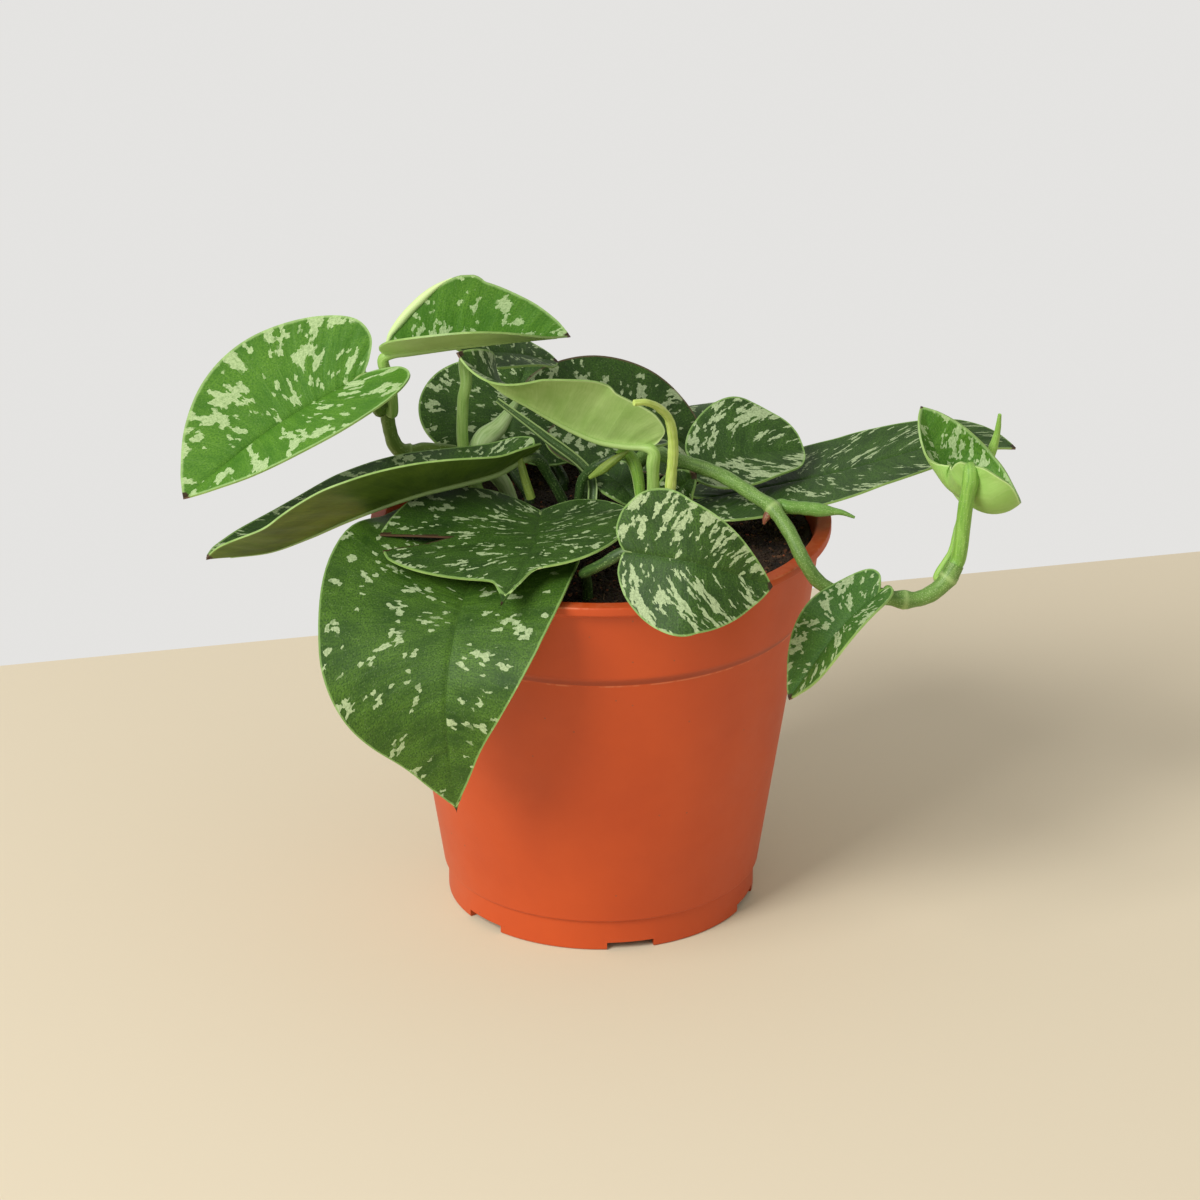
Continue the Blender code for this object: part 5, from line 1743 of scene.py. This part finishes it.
STEMS = (
    Stem(
        "vine_left",
        route=(
            (-48.8, 8, 123),
            (-49.4, 8, 117.7),
            (-47.7, 8, 108.4),
            (-44.3, 9, 105.5),
            (-39.7, 10, 105.8),
            (-31, 14, 102),
            (-29, 15, 92),
            (-28, 15, 79),
        ),
        radii=(1.4, 1.8, 1.7, 1.7),
    ),
    Stem(
        "vine_right",
        route=(
            (79.6, -29, 93.8),
            (77.6, -30, 90.3),
            (74, -31.5, 87.6),
            (69.5, -33, 86.8),
            (62.5, -34, 87.9),
            (54.9, -32.5, 87.8),
            (49.1, -32, 90.5),
            (45.4, -32, 95.8),
            (42.2, -27, 100.8),
            (38.5, -22, 104.5),
            (35.4, -19, 105.7),
            (26.8, -10, 107.9),
            (16.6, -4, 109.2),
            (12, 3, 108),
            (8, 9, 102),
            (6, 12, 91),
            (6, 12, 79),
        ),
        radii=(1.95, 1.6, 1.6, 1.7, 1.7),
        steps=26,
    ),
    Stem(
        "stem_yellow",
        route=(
            (7.3, -27.5, 132),
            (10, -26, 131.5),
            (12.9, -23, 129),
            (15.4, -20, 124.6),
            (16.2, -18, 117),
            (15.6, -17, 106),
            (15.6, -17, 90),
            (15.6, -17, 79),
        ),
        radii=(0.7, 1.2, 1.3, 1.3),
    ),
    Stem(
        "sheath_right",
        route=(
            (57.2, -20, 101.4),
            (54.3, -20, 102.6),
            (51.2, -20, 103),
            (46.2, -20, 103.6),
            (42.1, -20.5, 104.2),
            (39.6, -21, 104.5),
        ),
        radii=(0.3, 0.7, 1.5, 1.6, 1.5, 1.3),
        seat="vine_right",
        steps=8,
    ),
    Stem(
        "shoot_vine_end",
        route=(
            (90.5, -4.5, 120.3),
            (90.1, -3.4, 115),
            (88.9, -3.2, 110.3),
            (86.4, -6, 105),
            (83.3, -12, 101.2),
            (80.8, -19, 98.8),
            (79, -24.6, 95),
            (76.2, -28.4, 90.2),
        ),
        radii=(0.4, 1.3, 1.1, 0.9, 0.9),
        seat="vine_right",
        steps=10,
    ),
    Stem(
        "leaf_rolled_small",
        route=((-0.9, -6, 106.8), (3, -5, 109.5), (5.9, -3.5, 110.5), (8.5, -5, 105), (9.5, -7, 90), (9.5, -7, 79)),
        radii=(0.4, 1.2, 0.9, 0.8, 0.8),
        steps=10,
    ),
    Stem(
        "strap_left",
        route=((-23.8, 4, 120.5), (-13, 2, 112.5), (-3, 0, 104.4), (-2, -3, 97), (-1.5, -4, 90), (-1.5, -4, 79)),
        radii=(0.5, 1.1, 0.9, 0.8),
        steps=8,
    ),
    Stem(
        "leaf_rolled_pale",
        route=((-19.5, 15, 116), (-23.3, 13, 111), (-28, 10, 106), (-22, 9, 97), (-20, 8, 90), (-20, 8, 79)),
        radii=(0.5, 2.4, 1.6, 1.0, 1.0),
    ),
)


@dataclass
class Twig:
    """A small growth that is part of a stem or leaf: a nub, a young leaf tip or a stray stalk.

    host: the piece that it grows from.
    route: points along its middle, in millimetres.
    radii: its radius at each of them.
    look: its finish.
    """

    host: str
    route: tuple
    radii: tuple
    look: StemLook

    def build(self, number: int) -> bpy.types.Object:
        """Build it as a round piece of its own, to be joined with its host."""
        name = f"twig_{number}_{self.host}"
        middle = resampled(np.array(self.route), TWIG_STEPS)
        radii = np.array(self.radii)[:, None]
        spread = along_rows(radii, np.linspace(0, 1, TWIG_STEPS + 1))[:, 0]
        return swept(name, middle, spread, self.look.material(name))


@dataclass
class Plant:
    """The plant: its stems and leaves with their looks."""

    stems: tuple
    leaves: tuple
    twigs: tuple

    def build(self) -> None:
        """Build each stem and leaf and let it stand for its node."""
        for stem in self.stems:
            look, section, rings = STEM_LOOKS.get(stem.name, (StemLook(), Section.ROUND, ()))
            piece = stem.build(look, section, rings)
            grown = [twig.build(number) for number, twig in enumerate(self.twigs) if twig.host == stem.name]
            if grown:
                join(piece, grown)
            declare(piece, stem.name)
        for leaf in self.leaves:
            look = LEAF_LOOKS.get(leaf.name, LeafLook())
            under = UNDERSIDE_LOOKS.get(leaf.name, UndersideLook())
            stalk = STALK_LOOKS.get(leaf.name, STALK_DARK_SHADED)
            declare(leaf.build(look, under, stalk), leaf.name)


@dataclass
class Studio:
    """The camera, floor and lights.

    camera_place, camera_tilt_deg, lens_mm: where the camera stands, how far it is tilted up from straight
        down, and its lens on a 36 mm sensor.
    floor_size: side of the floor.
    floor_edge, floor_turn_deg: how far behind the pot the floor ends, and how that edge is turned.
    ambient, backdrop: strength of the light from all round, and of the plain backdrop that the camera sees.
    """

    camera_place: tuple = (-0.00023, -1.00877, 0.51103)
    camera_tilt_deg: float = 66.5
    lens_mm: float = 142.35
    floor_size: float = 4.0
    floor_edge: float = 0.161
    floor_turn_deg: float = 13.4
    ambient: float = 0.5
    backdrop: float = 0.78

    def build(self) -> None:
        """Make all of it."""
        bpy.context.scene.view_settings.view_transform = "Standard"
        self.build_camera()
        self.build_floor()
        self.build_world()
        self.add_light("key_light", (-1.33, -1.30, 1.50), 1.10, 47.0)
        self.add_light("fill_light", (0.9, -1.2, 0.8), 1.0, 0.6)

    def build_camera(self) -> None:
        """The camera at the usual viewing angle."""
        camera = bpy.data.cameras.new("camera")
        camera.lens = self.lens_mm
        camera.sensor_width = 36.0
        camera.dof.use_dof = False
        holder = bpy.data.objects.new("camera", camera)
        holder.location = self.camera_place
        holder.rotation_euler = (math.radians(self.camera_tilt_deg), 0, 0)
        bpy.context.scene.collection.objects.link(holder)
        bpy.context.scene.camera = holder

    def build_floor(self) -> None:
        """A plain pale floor, just under the pot, whose far edge lies behind the plant."""
        turn = math.radians(self.floor_turn_deg)
        reach = self.floor_size / 2
        middle = (reach * math.sin(turn), self.floor_edge - reach * math.cos(turn), -0.1 * MM)
        bpy.ops.mesh.primitive_plane_add(size=self.floor_size, location=middle, rotation=(0, 0, turn))
        floor = bpy.context.object
        floor.name = "floor"
        material, _, shader = new_material("floor_paper")
        shader.inputs["Base Color"].default_value = tint(229, 215, 187)
        shader.inputs["Roughness"].default_value = 0.8
        floor.data.materials.append(material)

    def build_world(self) -> None:
        """Soft pale light from all round, in front of a plain pale backdrop."""
        world = bpy.data.worlds.new("studio")
        world.use_nodes = True
        wiring = Wiring(world.node_tree)
        sky = world.node_tree.nodes["Background"]
        sky.inputs["Color"].default_value = (1.0, 0.99, 0.97, 1.0)
        seen = wiring.node("ShaderNodeLightPath").outputs["Is Camera Ray"]
        strength = wiring.maths("MULTIPLY_ADD", seen, self.backdrop - self.ambient, self.ambient)
        world.node_tree.links.new(strength, sky.inputs["Strength"])
        bpy.context.scene.world = world

    def add_light(self, name: str, place: tuple, size: float, power: float) -> None:
        """A square soft light that faces the plant.

        Args:
            name: The light's name.
            place: Where it is, in metres.
            size: Its side.
            power: Its power in watts.
        """
        light = bpy.data.lights.new(name, "AREA")
        light.energy = power
        light.size = size
        holder = bpy.data.objects.new(name, light)
        holder.location = place
        aim = Vector((0, 0, 0.08)) - Vector(place)
        holder.rotation_euler = aim.to_track_quat("-Z", "Y").to_euler()
        bpy.context.scene.collection.objects.link(holder)


BRIGHT = {
    "deep": tint(60, 110, 28),
    "fresh": tint(104, 152, 48),
    "silver": tint(192, 214, 156),
    "rim": tint(172, 206, 130),
    "rim_width": 0.6,
}
STALK_PALE = StemLook(tint(168, 200, 112), tint(140, 180, 84), specks=0.2)
# Darker stalk greens: partly the stalks' own colour, partly painted shade for stalks down inside the plant; the deeper
# one is for the stalks under the front leaves.
STALK_DARK_SHADED = StemLook(tint(66, 96, 40), tint(42, 68, 28), specks=0.3)
STALK_DEEP_SHADED = StemLook(tint(52, 78, 34), tint(34, 56, 24), specks=0.3)

LEAF_LOOKS = {
    "leaf_upper_left": LeafLook(1.0, **BRIGHT, patch=7.5, stretch=1.4, threshold=0.55, vein_spacing=5.0),
    "leaf_top": LeafLook(2.0, **BRIGHT, patch=5.5, stretch=0.9, threshold=0.575),
    "leaf_back_top": LeafLook(3.0, patch=4.0, threshold=0.56),
    "leaf_back_left": LeafLook(4.0, patch=5.0, threshold=0.575),
    "leaf_left": LeafLook(5.0, patch=5.0, threshold=0.56),
    "leaf_centre": LeafLook(6.0, patch=5.0, threshold=0.55, rim_gain=0.03),
    "leaf_front_left": LeafLook(
        7.0, tint(34, 66, 16), tint(88, 126, 38), patch=5.5, stretch=1.0, block=0.75, threshold=0.585
    ),
    "leaf_front_middle": LeafLook(8.0, patch=6.5, stretch=2.2, block=0.6, threshold=0.575),
    "leaf_front_right": LeafLook(9.0, patch=6.5, stretch=2.2, threshold=0.54, rim_gain=0.03, middle_clear=0.10, lean=0.7),
    "leaf_back_middle": LeafLook(10.0, patch=6.5, stretch=2.0, threshold=0.555, lean=0.4, rim=tint(110, 86, 70)),
    "leaf_right_round": LeafLook(11.0, patch=6.0, stretch=1.8, threshold=0.55, rim_gain=0.06, middle_clear=0.10, lean=0.6),
    "leaf_right_long": LeafLook(12.0, patch=6.5, stretch=2.4, threshold=0.58, lean=0.8),
    "leaf_right_hanging": LeafLook(
        13.0, tint(46, 86, 28), tint(84, 128, 46), patch=5.0, stretch=1.6, threshold=0.545
    ),
    "leaf_vine_end": LeafLook(14.0, **BRIGHT, patch=4.0, threshold=0.53),
    "leaf_small_right": LeafLook(15.0, patch=4.0, stretch=3.0, threshold=0.55),
    "leaf_small_centre": LeafLook(16.0, patch=4.0, threshold=0.58),
    "leaf_rear_left": LeafLook(17.0, threshold=0.57),
    "leaf_rear_right": LeafLook(18.0, threshold=0.57),
}

UNDERSIDE_LOOKS = {
    # leaf_left's underside greens are painted darker for the shade that this underside lies in.
    "leaf_left": UndersideLook(tint(104, 128, 42), tint(60, 84, 24), tint(128, 152, 70)),
    # leaf_top's underside greens are painted paler for the light that shines through its thin blade.
    "leaf_top": UndersideLook(tint(200, 226, 146), tint(178, 208, 120), tint(214, 234, 166)),
    "leaf_centre": UndersideLook(tint(184, 208, 132), tint(142, 178, 88), tint(204, 224, 156)),
    "leaf_vine_end": UndersideLook(tint(172, 208, 118), tint(140, 186, 84), tint(200, 226, 152)),
}

STALK_LOOKS = {
    "leaf_upper_left": StemLook(tint(122, 150, 66), tint(98, 126, 48), specks=0.2),
    "leaf_top": STALK_PALE,
    "leaf_back_top": STALK_PALE,
    "leaf_centre": STALK_PALE,
    "leaf_front_middle": STALK_DEEP_SHADED,
    "leaf_front_left": STALK_DEEP_SHADED,
    "leaf_right_hanging": StemLook(specks=0.6),
    "leaf_vine_end": StemLook(tint(140, 185, 80), tint(112, 160, 60), specks=0.3),
}

STEM_LOOKS = {
    "vine_left": (StemLook(tint(122, 146, 66), tint(98, 124, 48), specks=0.2), Section.ROUND, (((-44.3, 9, 105.5), 0.5),)),
    "vine_right": (
        StemLook(tint(118, 154, 72), tint(92, 128, 52), specks=0.8),
        Section.ROUND,
        (((38.5, -22, 104.5), 0.4), ((68, -33, 87.3), 0.45), ((78.4, -29, 90.5), 0.3)),
    ),
    "stem_yellow": (StemLook(tint(208, 224, 128), tint(180, 204, 88), groove_shade=0.8), Section.ROUND, ()),
    "sheath_right": (StemLook(tint(120, 162, 74), tint(94, 138, 54), specks=0.5), Section.ROUND, ()),
    "shoot_vine_end": (StemLook(tint(160, 200, 96), tint(130, 178, 72)), Section.ROUND, ()),
    "leaf_rolled_small": (StemLook(tint(150, 192, 76), tint(110, 160, 56)), Section.ROLLED, ()),
    "strap_left": (StemLook(tint(96, 124, 72), tint(70, 98, 50), specks=0.2), Section.CHANNEL, ()),
    "leaf_rolled_pale": (StemLook(tint(188, 210, 148), tint(150, 184, 108), specks=0.15), Section.ROLLED, ()),
}


NUB_RED = StemLook(tint(150, 84, 60), tint(110, 74, 48), specks=0.2)
KNOB_OLIVE = StemLook(tint(126, 140, 62), tint(92, 108, 44), specks=0.3)
STALK_LIME = StemLook(tint(156, 176, 80), tint(120, 148, 56), specks=0.2)

TWIGS = (
    Twig("vine_right", ((38.2, -22.5, 104.0), (37.0, -23.6, 102.6), (36.6, -24.0, 101.4)), (1.2, 0.9, 0.3), NUB_RED),
    Twig("vine_right", ((62.8, -34.0, 89.4), (62.3, -36.0, 88.3), (62.2, -36.6, 86.6)), (1.2, 1.7, 0.8), KNOB_OLIVE),
    Twig(
        "stem_yellow",
        ((-5.6, -1.0, 92.0), (-4.8, -2.0, 101.5), (-3.7, -3.0, 104.6), (-1.1, -5.0, 107.9), (3.4, -6.0, 111.0)),
        (1.0, 1.0, 1.1, 1.1, 0.7),
        STALK_DARK_SHADED,
    ),
    Twig(
        "stem_yellow",
        ((-2.6, -6.0, 105.4), (0.4, -6.6, 107.8), (3.0, -7.2, 110.2), (6.4, -8.0, 112.9)),
        (0.5, 1.2, 1.0, 0.2),
        STALK_LIME,
    ),
    Twig("strap_left", ((-18.7, -4.0, 110.2), (-17.6, -5.0, 105.7), (-16.0, -5.0, 100.0)), (0.8, 1.0, 1.1), STALK_LIME),
)


def main() -> None:
    """Build the studio, the pot, the soil and the plant, and log each piece's face count."""
    logging.basicConfig(level=logging.INFO, format="%(message)s")
    Studio().build()
    declare(NurseryPot().build(PlasticLook()), "pot")
    declare(PottingSoil().build(EarthLook()), "soil")
    Plant(STEMS, LEAVES, TWIGS).build()


if __name__ == "__main__":
    main()
